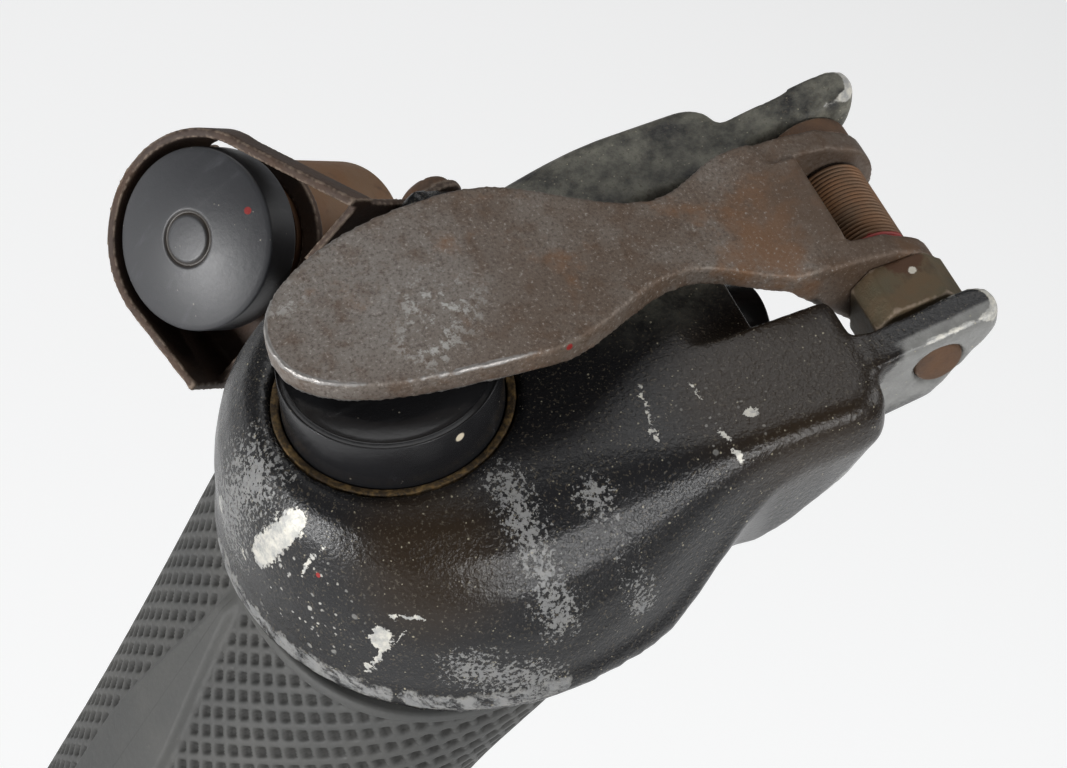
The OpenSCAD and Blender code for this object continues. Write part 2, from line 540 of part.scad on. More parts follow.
module guard_screws() color([0.36, 0.24, 0.17]) thumb_at() for (p = GUARD_BOLTS) translate([0, p[0], p[1]]) difference() {
    union() {
        along_x(pad_x - 1.4, pad_x + 7, 1.5 - seat_gap / 2);
        intersection() {
            translate([pad_x - 0.9 - seat_gap + 1.2, 0, 0]) sphere(r = 3.4);
            translate([pad_x - 0.9 - seat_gap - 4, 0, 0]) along_x(0, 4, 4);
        }
    }
    translate([pad_x - 6, -5, -0.4]) cube([3.2, 10, 0.8]);
}

head_casting();
grip_core();
clamp_collar();
grip_shell_left();
grip_shell_right();
shell_screws();
head_screws();
clamp_screws();
clamp_nuts();
hinge_pin();
thumb_guard();
guard_screws();
thumb_switch_can();
thumb_switch_body();
thumb_contacts();
thumb_spring();
top_switch_body();
top_contacts();
top_spring();
top_seal_ring();
front_switch_body();
front_contacts();
front_spring();
trigger_lever();
hinge_block();
hinge_spring();
hinge_spacer();
top_button();
top_bridge();
thumb_button();
thumb_bridge();
front_button();
front_bridge();
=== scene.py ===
"""Control stick grip: soft cast, worn paint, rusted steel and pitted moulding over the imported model."""
import functools
import math

import bmesh
import bpy
import numpy as np
from mathutils import Matrix, Vector
from mathutils.bvhtree import BVHTree


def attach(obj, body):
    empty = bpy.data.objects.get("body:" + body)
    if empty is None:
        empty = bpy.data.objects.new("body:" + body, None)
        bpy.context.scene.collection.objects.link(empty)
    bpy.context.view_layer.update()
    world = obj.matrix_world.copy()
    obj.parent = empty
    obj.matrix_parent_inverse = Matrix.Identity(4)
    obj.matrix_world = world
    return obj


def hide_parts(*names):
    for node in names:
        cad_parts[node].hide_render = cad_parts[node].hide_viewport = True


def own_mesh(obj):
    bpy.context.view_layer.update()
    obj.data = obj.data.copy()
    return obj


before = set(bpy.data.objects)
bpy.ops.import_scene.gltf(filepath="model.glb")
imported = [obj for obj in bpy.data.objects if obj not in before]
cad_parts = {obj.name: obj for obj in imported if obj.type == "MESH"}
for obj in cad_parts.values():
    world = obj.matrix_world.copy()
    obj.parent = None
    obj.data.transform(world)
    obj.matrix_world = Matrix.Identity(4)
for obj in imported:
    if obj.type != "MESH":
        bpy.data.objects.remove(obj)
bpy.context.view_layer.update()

bl_info = {
    "name": "Control Stick Grip",
    "version": (1, 0, 0),
    "blender": (4, 5, 0),
    "location": "3D View > Sidebar > Stick",
    "description": "Builds the visible pieces of a control stick grip over its packed solids",
    "category": "Object",
}

MM = 0.001
# Heights of the grip's foot, of the seam under the head and of the screws, in millimetres, and the seam's rake
GRIP_FOOT, SEAM, RAKE = 30.0, 132.0, 33.0
SHELL_BOLTS, CLAMP_BOLTS = (48.0, 92.0), (7.4, 20.4)
RAKE_SIN, RAKE_COS = math.sin(math.radians(RAKE)), math.cos(math.radians(RAKE))
# The head's flat deck in its own frame, and the tilted slot of the front button
DECK, SLOT_DEPTH, SLOT_TILT = 3.8, 12.6, math.radians(18)
# The inner faces of the two ears along the hinge pin
LEFT_EAR, RIGHT_EAR = -14.95, 11.6


def shift(x, y, z):
    return Matrix.Translation((x, y, z))


def turn(degrees, axis):
    return Matrix.Rotation(math.radians(degrees), 4, axis)


# Frames in millimetres: the whole part, the head over the raked seam, and the axes of the switches and the pin
PART = Matrix.Scale(MM, 4)
HEAD = PART @ shift(0, 0, SEAM) @ turn(RAKE, "X") @ shift(0, 46, 16)
TOP = HEAD @ shift(0, -49.3, DECK)
THUMB = HEAD @ shift(-35.6, -58.2, -6.5) @ turn(45, "X") @ turn(20, "Y")
FRONT = HEAD @ shift(-3.5, -14 - SLOT_DEPTH * math.sin(SLOT_TILT),
                     DECK - SLOT_DEPTH * math.cos(SLOT_TILT)) @ turn(-108, "X")
PIN = HEAD @ turn(90, "Y")


class StickSizes(bpy.types.PropertyGroup):
    """Sizes of the surface detail."""
    head_voxel: bpy.props.FloatProperty(name="Head Voxel", description="Mesh step of the cast head",
                                        default=0.00045, unit="LENGTH", precision=5)
    lever_voxel: bpy.props.FloatProperty(name="Lever Voxel", description="Mesh step of the trigger lever",
                                         default=0.0003, unit="LENGTH", precision=5)
    sheet_voxel: bpy.props.FloatProperty(name="Sheet Voxel", description="Mesh step of the bent sheet guard",
                                         default=0.00022, unit="LENGTH", precision=5)
    core_voxel: bpy.props.FloatProperty(name="Core Voxel", description="Mesh step of the grip's core and clamp",
                                        default=0.0006, unit="LENGTH", precision=5)
    pit_pitch: bpy.props.FloatProperty(name="Pit Pitch", description="Distance between rows of pits in the grip",
                                       default=0.00182, unit="LENGTH", precision=5)
    pit_depth: bpy.props.FloatProperty(name="Pit Depth", description="Depth of a pit in the grip",
                                       default=0.00045, unit="LENGTH", precision=5)
    hinge_turns: bpy.props.FloatProperty(name="Hinge Turns", description="Turns of the spring on the hinge pin",
                                         default=22.0)
    hinge_wire: bpy.props.FloatProperty(name="Hinge Wire", description="Wire thickness of the hinge spring",
                                        default=0.00047, unit="LENGTH", precision=5)
    floor_size: bpy.props.FloatProperty(name="Floor Size", description="Side of the pale floor",
                                        default=8.0, unit="LENGTH")


class StickColours(bpy.types.PropertyGroup):
    """Colours that a user would change."""
    paint: bpy.props.FloatVectorProperty(name="Paint", description="Black paint of the head", subtype="COLOR",
                                         size=4, default=(0.011, 0.011, 0.012, 1))
    bare: bpy.props.FloatVectorProperty(name="Bare Metal", description="Alloy where the paint is gone",
                                        subtype="COLOR", size=4, default=(0.36, 0.36, 0.35, 1))
    grip: bpy.props.FloatVectorProperty(name="Grip", description="Dark grey moulding", subtype="COLOR",
                                        size=4, default=(0.048, 0.049, 0.048, 1))
    lever: bpy.props.FloatVectorProperty(name="Lever", description="Brown patina of the lever", subtype="COLOR",
                                         size=4, default=(0.112, 0.078, 0.055, 1))
    rust: bpy.props.FloatVectorProperty(name="Rust", description="Orange brown rust", subtype="COLOR",
                                        size=4, default=(0.17, 0.082, 0.035, 1))
    guard: bpy.props.FloatVectorProperty(name="Guard", description="Dark brown sheet steel", subtype="COLOR",
                                         size=4, default=(0.05, 0.034, 0.027, 1))
    band: bpy.props.FloatVectorProperty(name="Band", description="Red paint band on the hinge spring",
                                        subtype="COLOR", size=4, default=(0.30, 0.028, 0.024, 1))


def add_node(tree, kind, settings, inputs):
    """A new node with its settings made first, then its sockets set or linked."""
    node = tree.nodes.new(kind)
    for key, value in settings.items():
        setattr(node, key, value)
    for key, value in inputs.items():
        if isinstance(value, bpy.types.NodeSocket):
            tree.links.new(value, node.inputs[key])
        else:
            node.inputs[key].default_value = value
    return node


class Num:
    """A node's output that takes part in sums."""

    def __init__(self, finish, socket):
        self.finish, self.socket = finish, socket

    def _sum(self, operation, first, second):
        return self.finish.make("ShaderNodeMath", {"operation": operation}, {0: first, 1: second})

    def __add__(self, other):
        return self._sum("ADD", self, other)

    __radd__ = __add__

    def __mul__(self, other):
        return self._sum("MULTIPLY", self, other)

    __rmul__ = __mul__

    def __sub__(self, other):
        return self._sum("SUBTRACT", self, other)

    def __rsub__(self, other):
        return self._sum("SUBTRACT", other, self)

    def __truediv__(self, other):
        return self._sum("DIVIDE", self, other)

    def top(self, other):
        """The higher of two values."""
        return self._sum("MAXIMUM", self, other)

    def rise(self, low, high):
        """A smooth step from nothing at low to one at high."""
        return self.finish.make("ShaderNodeMapRange", {"interpolation_type": "SMOOTHSTEP", "clamp": True},
                                {"Value": self, "From Min": low, "From Max": high})


def strongest(masks):
    return functools.reduce(Num.top, masks)


class Finish:
    """One material; every node comes from make()."""

    def __init__(self, name):
        self.material = bpy.data.materials.new(name)
        self.material.use_nodes = True
        self.tree = self.material.node_tree
        self.tree.nodes.clear()
        self.where = self.make("ShaderNodeTexCoord", {}, {}, "Object")

    def make(self, kind, settings, inputs, output=0):
        plain = {key: value.socket if isinstance(value, Num) else value for key, value in inputs.items()}
        return Num(self, add_node(self.tree, kind, settings, plain).outputs[output])

    def noise(self, scale, detail=4.0, roughness=0.55, where=None, output="Fac"):
        return self.make("ShaderNodeTexNoise", {}, {"Vector": where or self.where, "Scale": scale,
                                                    "Detail": detail, "Roughness": roughness}, output)

    def cells(self, scale, output="Distance", where=None):
        return self.make("ShaderNodeTexVoronoi", {}, {"Vector": where or self.where, "Scale": scale}, output)

    def attribute(self, name):
        return self.make("ShaderNodeAttribute", {"attribute_name": name}, {}, "Fac")

    def axis(self, letter):
        return self.make("ShaderNodeSeparateXYZ", {}, {0: self.where}, letter)

    def vector(self, operation, first, second, output=0):
        return self.make("ShaderNodeVectorMath", {"operation": operation}, {0: first, 1: second}, output)

    def stretched(self, where, scale):
        return self.make("ShaderNodeMapping", {}, {"Vector": where, "Scale": scale})

    def torn(self, scale, reach):
        """The place, shaken by noise of a reach in millimetres, for jagged edges."""
        shake = self.vector("SUBTRACT", self.noise(scale, 5.0, 0.65, output="Color"), (0.5, 0.5, 0.5))
        return self.vector("ADD", self.where, self.vector("MULTIPLY", shake, [2 * reach * MM] * 3))

    def flecks(self, scale, size, share):
        """Small spots, one in a share of the cells."""
        cell = self.cells(scale, where=self.torn(scale * 0.8, 300 / scale))
        draw = self.make("ShaderNodeSeparateColor", {}, {0: self.cells(scale, "Color")})
        return cell.rise(size, size * 0.6) * draw.rise(1 - share, 1 - share + 0.02)

    def near(self, point, radius):
        """One at a point given in millimetres, falling to nothing at the radius."""
        return 1.0 - self.vector("DISTANCE", self.where, Vector(point) * MM, "Value") / (radius * MM)

    def spots(self, places):
        """The strongest of several places, each a point and a radius."""
        return strongest(self.near(*place) for place in places)

    def along(self, start, end, radius):
        """One on a line between two points in millimetres, falling to nothing at the radius."""
        first, last = Vector(start) * MM, Vector(end) * MM
        run = last - first
        place = self.vector("SUBTRACT", self.where, first)
        share = self.vector("DOT_PRODUCT", place, run / run.length_squared, "Value")
        share = self.make("ShaderNodeClamp", {}, {"Value": share})
        foot = self.make("ShaderNodeVectorMath", {"operation": "SCALE"}, {0: run, "Scale": share})
        return 1.0 - self.vector("DISTANCE", place, foot, "Value") / (radius * MM)

    def mix(self, share, first, second):
        return self.make("ShaderNodeMix", {"data_type": "RGBA"}, {0: share, 6: first, 7: second}, 2)

    def layered(self, colour, *layers):
        """A colour with tints laid over it in turn, each by its own mask."""
        for mask, tint in layers:
            colour = self.mix(mask, colour, tint)
        return colour

    def bump(self, height, distance):
        return self.make("ShaderNodeBump", {}, {"Strength": 1.0, "Distance": distance * MM, "Height": height})

    def done(self, **sockets):
        """The material, with the shader's sockets given by name."""
        named = {key.replace("_", " "): value for key, value in sockets.items()}
        shader = self.make("ShaderNodeBsdfPrincipled", {}, named)
        add_node(self.tree, "ShaderNodeOutputMaterial", {}, {"Surface": shader.socket})
        return self.material


def rgb(r, g, b):
    return (r, g, b, 1.0)


RED_SPOT = rgb(0.26, 0.016, 0.014)
# Paint lost from the head, in the part's frame: two ends of a line and its reach in millimetres
CHIP = ((5.9, -22.5, 131.0), (8.4, -23.1, 137.6), 1.9)
MARKS = [((11.2, -21.7, 134.4), (11.7, -21.8, 137.9), 0.42), ((17.5, -13.8, 127.9), (18.7, -15.1, 132.8), 0.42),
         ((18.3, -15.8, 133.8), (18.5, -15.4, 132.4), 1.2), ((18.7, -14.6, 131.9), (19.5, -14.6, 135.4), 0.2),
         ((18.3, -16.2, 136.0), (19.8, -14.3, 137.6), 0.4), ((8.5, 4.4, 158.5), (15.7, 3.2, 157.7), 0.26),
         ((16.8, 8.2, 161.0), (19.8, 9.4, 160.2), 0.4), ((15.7, 11.0, 162.8), (16.0, 11.4, 163.0), 0.65),
         ((10.2, 8.2, 160.9), (12.4, 8.3, 161.0), 0.22), ((3.4, -21.5, 128.6), (4.4, -21.7, 131.0), 0.8),
         ((-3.2, -22.0, 127.9), (-2.6, -22.2, 129.4), 0.7)]
# Where the paint is rubbed through to a silver grain, and where silver glints are painted along the highlight
# streaks, in the same form
GRAIN_AND_GLINTS = [((2.0, -24.6, 137.0), (-1.2, -22.1, 128.0), 6.5), ((13.5, -9.0, 150.2), (20.1, -6.8, 147.0), 3.0),
         ((20.1, -6.8, 147.0), (23.6, -2.7, 142.3), 3.2), ((22.7, -8.3, 134.3), (24.3, -1.5, 134.9), 3.8),
         ((17.5, -2.2, 152.9), (23.3, 5.8, 144.5), 2.4)]
# Worn and tinted places of the head, and patches of painted sheen on its far side: a point and its reach in
# millimetres
RIM_WEAR = [((21.7, -8.5, 129.6), 5.0), ((23.7, -4.3, 132.7), 4.5), ((16.4, -14.1, 125.5), 5.5),
            ((11.3, -17.4, 125.2), 6.0), ((4.1, -18.9, 122.8), 5.0), ((-2.2, -17.9, 120.4), 4.0),
            ((24.5, -0.6, 134.7), 3.5)]
EAR_WEAR = [((15.6, 28.4, 175.4), 6.5), ((14.9, 32.0, 178.0), 5.5), ((-15.5, 31.0, 177.6), 5.0),
            ((-19.0, 33.0, 177.0), 4.0)]
CHIPPED, SPECKLED = ((10.8, -20.5, 130.5), 10), ((16.0, 9.0, 161.0), 9)
BROWNED = [((17.5, -15.1, 143.0), 13), ((14.0, 14.5, 165.0), 17)]
FAR_SHEEN = [((-14.0, 8.0, 160.0), 20), ((-16.0, 26.0, 172.0), 16)]
HEAD_SPOT = ((12.5, -21.1, 135.2), 0.3)


def worn_black_paint(colours):
    """Black paint with chips, rubbed edges, a bare lower rim, silver grain that is partly painted glint, and a
    painted sheen on the far side.
    """
    f = Finish("worn_black_paint")
    here = f.where
    peel, grain, blotch = f.noise(1500, 4, 0.6), f.noise(3400, 3, 0.6), f.noise(46, 4, 0.6)
    ragged = (f.noise(700, 6, 0.7) - 0.5) * 1.6
    f.where = f.torn(800, 1.3)
    chip, thin = f.along(*CHIP), strongest(f.along(*mark) for mark in GRAIN_AND_GLINTS)
    f.where = f.torn(1100, 0.35)
    lost = strongest([chip] + [f.along(*mark) for mark in MARKS])
    f.where = here
    lost = (lost + ragged * 0.3 + (f.noise(1900, 6, 0.8) - 0.5) * 0.9).rise(0.2, 0.28)
    # Silver speckle along these lines: partly rubbed-through grain, partly painted glints and highlight streaks
    silver = (f.noise(2300, 4, 0.7) + thin * 0.2).rise(0.62, 0.68) * thin.rise(0.0, 0.25)

    # A bare band over the head's lower rim, widest where the palm rubs it
    height = f.vector("DOT_PRODUCT", here, (0.0, -RAKE_SIN, RAKE_COS), "Value") - SEAM * MM * RAKE_COS
    tall = height / MM
    hard = f.spots(RIM_WEAR).rise(0.0, 0.55)
    band = (1.0 - (tall + ragged * 1.6).rise(2.2, 2.8)) * (tall + ragged * 0.5).rise(0.7, 1.0)
    band = band * (hard + ragged * 0.6).rise(0.3, 0.5)
    streaks = f.noise(500, 6, 0.75, f.stretched(f.torn(400, 1.2), (1.0, 1.0, 2.2)))

    ears = f.spots(EAR_WEAR).rise(0.0, 0.7)
    rubbed = (f.attribute("worn") * (0.5 + 0.55 * ears) + ragged * 0.42).rise(0.6, 0.76)
    crowd = f.near(*CHIPPED).rise(0.0, 0.7).top(f.near(*SPECKLED).rise(0.0, 1.6))
    specks = (f.flecks(1400, 0.27, 0.35) + f.flecks(800, 0.28, 0.2)) * crowd
    bare = strongest([lost, rubbed, band * streaks.rise(0.4, 0.56), specks * 0.8, silver * 0.85])

    # far_sheen paints a pale grey-green sheen in patches on the head's far side, and makes the paint rougher there
    brown, far_sheen = f.spots(BROWNED).rise(0.0, 0.9), f.spots(FAR_SHEEN).rise(0.0, 0.5)
    # The right ear's outer face, scraped grey
    scraped = (f.axis("X") / MM + ragged * 0.3).rise(14.0, 14.5) * (f.axis("Y") / MM + ragged).rise(23.6, 24.6)
    paint = f.layered(colours.paint,
                      ((brown * 0.8 + blotch * 0.5).rise(0.3, 1.0), rgb(0.021, 0.014, 0.0085)),
                      (far_sheen * f.noise(260, 5, 0.7).rise(0.3, 0.7), rgb(0.165, 0.160, 0.130)),
                      (grain.rise(0.57, 0.68) * 0.8, rgb(0.075, 0.064, 0.048)),
                      (scraped * (0.8 + 0.4 * ragged), rgb(0.23, 0.23, 0.22)))
    metal = f.layered(colours.bare,
                      (f.noise(900, 6, 0.75).rise(0.36, 0.62), rgb(0.60, 0.58, 0.52)),
                      (band.top(silver) * 0.85, rgb(0.19, 0.192, 0.195)))
    dots = (f.flecks(1500, 0.2, 0.06) + f.flecks(2600, 0.24, 0.10)) * (0.25 + 0.9 * blotch)
    colour = f.layered(paint, (bare, metal), (dots, rgb(0.34, 0.31, 0.23)),
                       (f.near(*HEAD_SPOT).rise(0.0, 0.3), RED_SPOT))
    return f.done(Base_Color=colour, Roughness=0.18 + 0.14 * blotch + 0.25 * bare + 0.3 * far_sheen,
                  Metallic=bare * 0.3, Normal=f.bump(peel * 0.8 + grain * 0.45 - bare * 0.2, 0.12),
                  Specular_IOR_Level=0.3)


def brown_lever_steel(colours):
    """Brown patina with rust, pale worn patches, bright edges and a painted shadow by the fork."""
    f = Finish("brown_lever_steel")
    cloud, mottle, fine = f.noise(70, 5, 0.6), f.noise(420, 6, 0.65), f.noise(2900, 4, 0.7)
    rust = (f.noise(110, 5, 0.65) + f.near((-3, 19, 172), 16).rise(0, 1) * 0.14).rise(0.55, 0.72)
    grey = f.near((-6.0, -20.0, 153.0), 24).rise(0.0, 0.9)
    pale = f.spots([((-1.2, -13.6, 157.2), 7.0), ((2.4, -15.5, 156.1), 5.5)])
    pale = pale.top(f.near((-8.2, -24.2, 150), 4.0) * 0.8).rise(0.0, 0.9)
    worn = pale * (mottle * 0.4 + f.noise(950, 6, 0.75) * 0.8).rise(0.60, 0.70)
    tip = f.near((-1.0, -25.5, 148.3), 13).top(f.near((5.4, -12.0, 157.0), 11) * 0.8).rise(0, 0.8)
    bright = (f.attribute("worn") * (0.42 + 0.9 * tip) + (mottle - 0.5) * 0.8).rise(0.5, 0.85)
    # Painted shadow: the lever darkened towards dark brown near the fork by the hinge
    painted_shade = f.near((-3.5, 30.0, 171.0), 15).rise(0.0, 0.5)
    red = f.spots([((7.2, -4.8, 161.1), 0.4), ((-9.2, 21.0, 174.2), 0.35)]).rise(0.0, 0.3)
    colour = f.layered(colours.lever,
                       (cloud.rise(0.38, 0.62), rgb(0.168, 0.142, 0.120)),
                       (grey * 0.7, rgb(0.192, 0.177, 0.163)),
                       (mottle.rise(0.46, 0.7) * 0.7, rgb(0.098, 0.058, 0.034)),
                       (fine.rise(0.50, 0.64) * 0.6, rgb(0.05, 0.032, 0.022)),
                       (rust * 0.7, colours.rust),
                       (worn * 0.85, rgb(0.42, 0.42, 0.40)),
                       ((1.0 - fine.rise(0.32, 0.42)) * 0.7, rgb(0.34, 0.31, 0.28)),
                       (painted_shade * (0.35 + 0.5 * mottle), rgb(0.07, 0.04, 0.022)),
                       (bright * 0.75, rgb(0.33, 0.32, 0.31)),
                       (red, RED_SPOT))
    return f.done(Base_Color=colour, Roughness=0.38 + 0.28 * mottle - 0.12 * bright,
                  Metallic=0.35 + 0.4 * bright, Normal=f.bump(mottle * 0.6 + fine * 0.5, 0.12))


def rusted_steel(colours, name, base, share, metal=0.3, marks=()):
    """Steel with a share of rust, paler edges, and marks given by point, reach and tint."""
    f = Finish(name)
    cloud, fine = f.noise(160, 5, 0.65), f.noise(1500, 5, 0.7)
    colour = f.layered(base,
                       (cloud.rise(0.36, 0.66) * share, colours.rust),
                       ((f.noise(420, 4) * 0.6 + fine * 0.4).rise(0.52, 0.72) * 0.6, rgb(0.045, 0.026, 0.018)),
                       ((f.attribute("worn") + (fine - 0.5)).rise(0.5, 0.9) * 0.55, rgb(0.27, 0.21, 0.16)))
    for place, reach, tint in marks:
        colour = f.mix((f.near(place, reach) + (fine - 0.5)).rise(0.1, 0.4), colour, tint)
    return f.done(Base_Color=colour, Roughness=0.48 + 0.3 * cloud, Metallic=metal,
                  Normal=f.bump(fine + cloud * 0.5, 0.1))


def hinge_wire(colours):
    """Rusted wire with a band of red paint on its right half."""
    f = Finish("hinge_wire")
    band = (f.axis("X") + (f.noise(900, 4) - 0.5) * 0.0012).rise(0.0005, 0.0008)
    colour = f.layered(rgb(0.13, 0.075, 0.04), (f.noise(260, 5).rise(0.35, 0.7), colours.rust), (band, colours.band))
    return f.done(Base_Color=colour, Roughness=0.45 + 0.25 * f.noise(700), Metallic=0.3 - 0.3 * band,
                  Normal=f.bump(f.noise(1900), 0.06))


def pitted_moulding(colours):
    """Dark grey moulding, with painted shade darkening its pits."""
    f = Finish("pitted_moulding")
    pit, cloud, grain = f.attribute("pit"), f.noise(55, 4, 0.6), f.noise(1700, 4, 0.6)
    colour = f.layered(colours.grip,
                       (cloud.rise(0.3, 0.7), rgb(0.068, 0.067, 0.063)),
                       # Painted shade: each pit is darkened towards near black by its depth
                       (pit * 0.8, rgb(0.014, 0.0135, 0.012)),
                       (grain.rise(0.62, 0.8) * 0.35, rgb(0.13, 0.125, 0.115)))
    return f.done(Base_Color=colour, Roughness=0.52 + 0.2 * grain + 0.12 * pit, Normal=f.bump(grain, 0.05),
                  Specular_IOR_Level=0.45)


def button_moulding(name, base, roughness, ring=False):
    """Dusty scuffed moulding; the thumb button's has an engraved ring and a crack."""
    f = Finish(name)
    fine = f.noise(1600, 4, 0.65)
    scuff = f.noise(90, 5, 0.6, f.stretched(f.where, (9.0, 2.0, 2.0)))
    dust = (1.0 - f.cells(900) + (fine - 0.5) * 0.2 - 0.9).rise(0.0, 0.05) * f.noise(240, 2).rise(0.52, 0.62)
    colour = f.layered(base,
                       (scuff.rise(0.55, 0.8) * 0.5, rgb(*(c * 2.2 + 0.01 for c in base[:3]))),
                       (dust * 0.7, rgb(0.46, 0.42, 0.34)))
    if ring:
        crack = f.along((-32.6, -15.2, 131.6), (-30.2, -14.0, 133.5), 0.16).rise(0.0, 0.6)
        colour = f.layered(colour,
                           (f.near((-33.3, -12.5, 139.7), 0.45).rise(0.0, 0.3), RED_SPOT),
                           (crack * 0.8, rgb(0.012, 0.01, 0.008)),
                           (f.attribute("groove"), rgb(0.03, 0.022, 0.014)))
    else:
        grit = f.spots([((10.0, -13.1, 151.5), 0.55), ((6.4, -19.0, 148.0), 0.4)]).rise(0.0, 0.3)
        colour = f.mix(grit, colour, rgb(0.62, 0.55, 0.42))
    return f.done(Base_Color=colour, Roughness=roughness + 0.16 * scuff, Normal=f.bump(fine, 0.02),
                  Specular_IOR_Level=0.5 if ring else 0.3)


def plain_metal(name, base, roughness, metallic):
    """Metal with soft dark clouding."""
    f = Finish(name)
    brushed, fine = f.noise(240, 5, 0.6), f.noise(1900, 3, 0.6)
    dark = rgb(base[0] * 0.55, base[1] * 0.52, base[2] * 0.48)
    colour = f.mix(brushed.rise(0.3, 0.72) * 0.7, base, dark)
    return f.done(Base_Color=colour, Roughness=roughness + 0.2 * brushed, Metallic=metallic,
                  Normal=f.bump(fine, 0.03))


def tarnished_ring():
    """Crumbled gold brown of the ring in the top button's gap."""
    f = Finish("tarnished_ring")
    crumb = f.noise(1500, 5, 0.7)
    colour = f.mix(crumb.rise(0.40, 0.70), rgb(0.035, 0.022, 0.010), rgb(0.20, 0.125, 0.045))
    return f.done(Base_Color=colour, Roughness=0.55 + 0.25 * crumb, Metallic=0.25, Normal=f.bump(crumb, 0.2))


def phenolic():
    """Red brown board of the switch bodies."""
    f = Finish("phenolic")
    cloud = f.noise(120, 5, 0.6)
    colour = f.mix(cloud.rise(0.3, 0.7), rgb(0.085, 0.04, 0.02), rgb(0.14, 0.072, 0.035))
    return f.done(Base_Color=colour, Roughness=0.4 + 0.2 * cloud, Normal=f.bump(f.noise(1400), 0.03))


def studio_floor():
    """Pale floor with a faint glow of its own."""
    f = Finish("pale_floor")
    cloud = f.noise(1.5, 3)
    colour = f.mix(cloud, rgb(0.80, 0.81, 0.81), rgb(0.83, 0.83, 0.835))
    return f.done(Base_Color=colour, Roughness=0.75 + 0.1 * cloud,
                  Emission_Color=rgb(1.0, 1.0, 1.0), Emission_Strength=0.28)


def mesh_of(name, verts, faces, matrix=None):
    mesh = bpy.data.meshes.new(name)
    mesh.from_pydata([tuple(v) for v in verts], [], faces)
    if matrix is not None:
        mesh.transform(matrix)
    return mesh


def outward(mesh):
    """The mesh with its doubles merged and its faces turned outwards."""
    bm = bmesh.new()
    bm.from_mesh(mesh)
    bmesh.ops.remove_doubles(bm, verts=bm.verts, dist=1e-7)
    bmesh.ops.recalc_face_normals(bm, faces=bm.faces)
    bm.to_mesh(mesh)
    bm.free()
    return mesh


def helper(name, mesh):
    obj = bpy.data.objects.new(name, mesh)
    bpy.context.scene.collection.objects.link(obj)
    return obj


def discard(obj):
    mesh = obj.data
    bpy.data.objects.remove(obj)
    bpy.data.meshes.remove(mesh)


def settled(obj):
    """The object's evaluated mesh, with its modifiers taken off and the helper removed."""
    mesh = bpy.data.meshes.new_from_object(obj.evaluated_get(bpy.context.evaluated_depsgraph_get()))
    discard(obj)
    return mesh


def carved(mesh, knives):
    """The mesh with each of the knives, which are meshes too, cut out of it."""
    obj = helper("carved_helper", mesh)
    blades = [helper("knife_helper", knife) for knife in knives]
    for blade in blades:
        cut = obj.modifiers.new("Cut", "BOOLEAN")
        cut.operation, cut.solver, cut.object = "DIFFERENCE", "EXACT", blade
    mesh = settled(obj)
    for blade in blades:
        discard(blade)
    return mesh


def rows_of(items, field, width, kind=np.float32):
    """A field of every item, one row for each."""
    values = np.empty(len(items) * width, kind)
    items.foreach_get(field, values)
    return values.reshape(-1, width)


def points_of(mesh):
    return rows_of(mesh.vertices, "co", 3).astype(float)


def edges_of(mesh):
    return rows_of(mesh.edges, "vertices", 2, np.int32)


def normals_of(mesh):
    return rows_of(mesh.vertex_normals, "vector", 3)


def set_points(mesh, points):
    mesh.vertices.foreach_set("co", points.astype(np.float32).ravel())
    mesh.update()
    return mesh


def store(mesh, label, values):
    """Keeps a number for each vertex as an attribute."""
    layer = mesh.attributes.new(label, "FLOAT", "POINT")
    layer.data.foreach_set("value", np.asarray(values).astype(np.float32))
    return mesh


def averaged(values, pairs, count):
    """Mean of each vertex's neighbours."""
    n = np.bincount(pairs.ravel(), minlength=count).astype(float)
    out = np.empty_like(values)
    for k in range(values.shape[1]):
        s = np.bincount(pairs[:, 0], weights=values[pairs[:, 1], k], minlength=count)
        s += np.bincount(pairs[:, 1], weights=values[pairs[:, 0], k], minlength=count)
        out[:, k] = s / np.maximum(n, 1)
    return out


def softened(mesh, rounds):
    """Rounds the edges off without shrinking the piece."""
    give, back = 0.55, 0.275
    co, pairs = points_of(mesh), edges_of(mesh)
    for _ in range(rounds):
        co += give * (averaged(co, pairs, len(co)) - co)
        co -= back * (averaged(co, pairs, len(co)) - co)
    return set_points(mesh, co)


def with_wear(mesh, reach):
    """Stores how sharply each vertex stands out, from 0 on a flat to 1 on an edge."""
    co, pairs, normals = points_of(mesh), edges_of(mesh), normals_of(mesh)
    d = co[pairs[:, 1]] - co[pairs[:, 0]]
    bend = ((normals[pairs[:, 1]] - normals[pairs[:, 0]]) * d).sum(1) / np.maximum((d * d).sum(1), 1e-12)
    total = np.bincount(pairs.ravel(), weights=np.repeat(bend, 2), minlength=len(co))
    worn = (total / np.maximum(np.bincount(pairs.ravel(), minlength=len(co)), 1)).reshape(-1, 1)
    for _ in range(3):
        worn = 0.5 * worn + 0.5 * averaged(worn, pairs, len(co))
    return store(mesh, "worn", np.clip(worn[:, 0] * reach, 0, 1))


def soft_copy(node, voxel, rounds, reach, onto=None):
    """A finer skin over a CAD node with its edges rounded, set onto a smooth surface where one is near."""
    snap, facing = 0.0006, 0.75
    bm = bmesh.new()
    bm.from_mesh(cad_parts[node].data)
    bmesh.ops.remove_doubles(bm, verts=bm.verts, dist=2e-6)
    mesh = bpy.data.meshes.new(node + "_skin")
    bm.to_mesh(mesh)
    bm.free()
    obj = helper("skin_helper", mesh)
    remesh = obj.modifiers.new("Skin", "REMESH")
    remesh.mode = "VOXEL"
    remesh.voxel_size = voxel
    mesh = settled(obj)
    if onto is not None:
        co, normals = points_of(mesh), normals_of(mesh)
        for i, point in enumerate(co):
            place, normal, *_ = onto.find_nearest(point, snap)
            if place is not None and normal.dot(normals[i]) > facing:
                co[i] = place
        set_points(mesh, co)
    return with_wear(softened(mesh, rounds), reach)


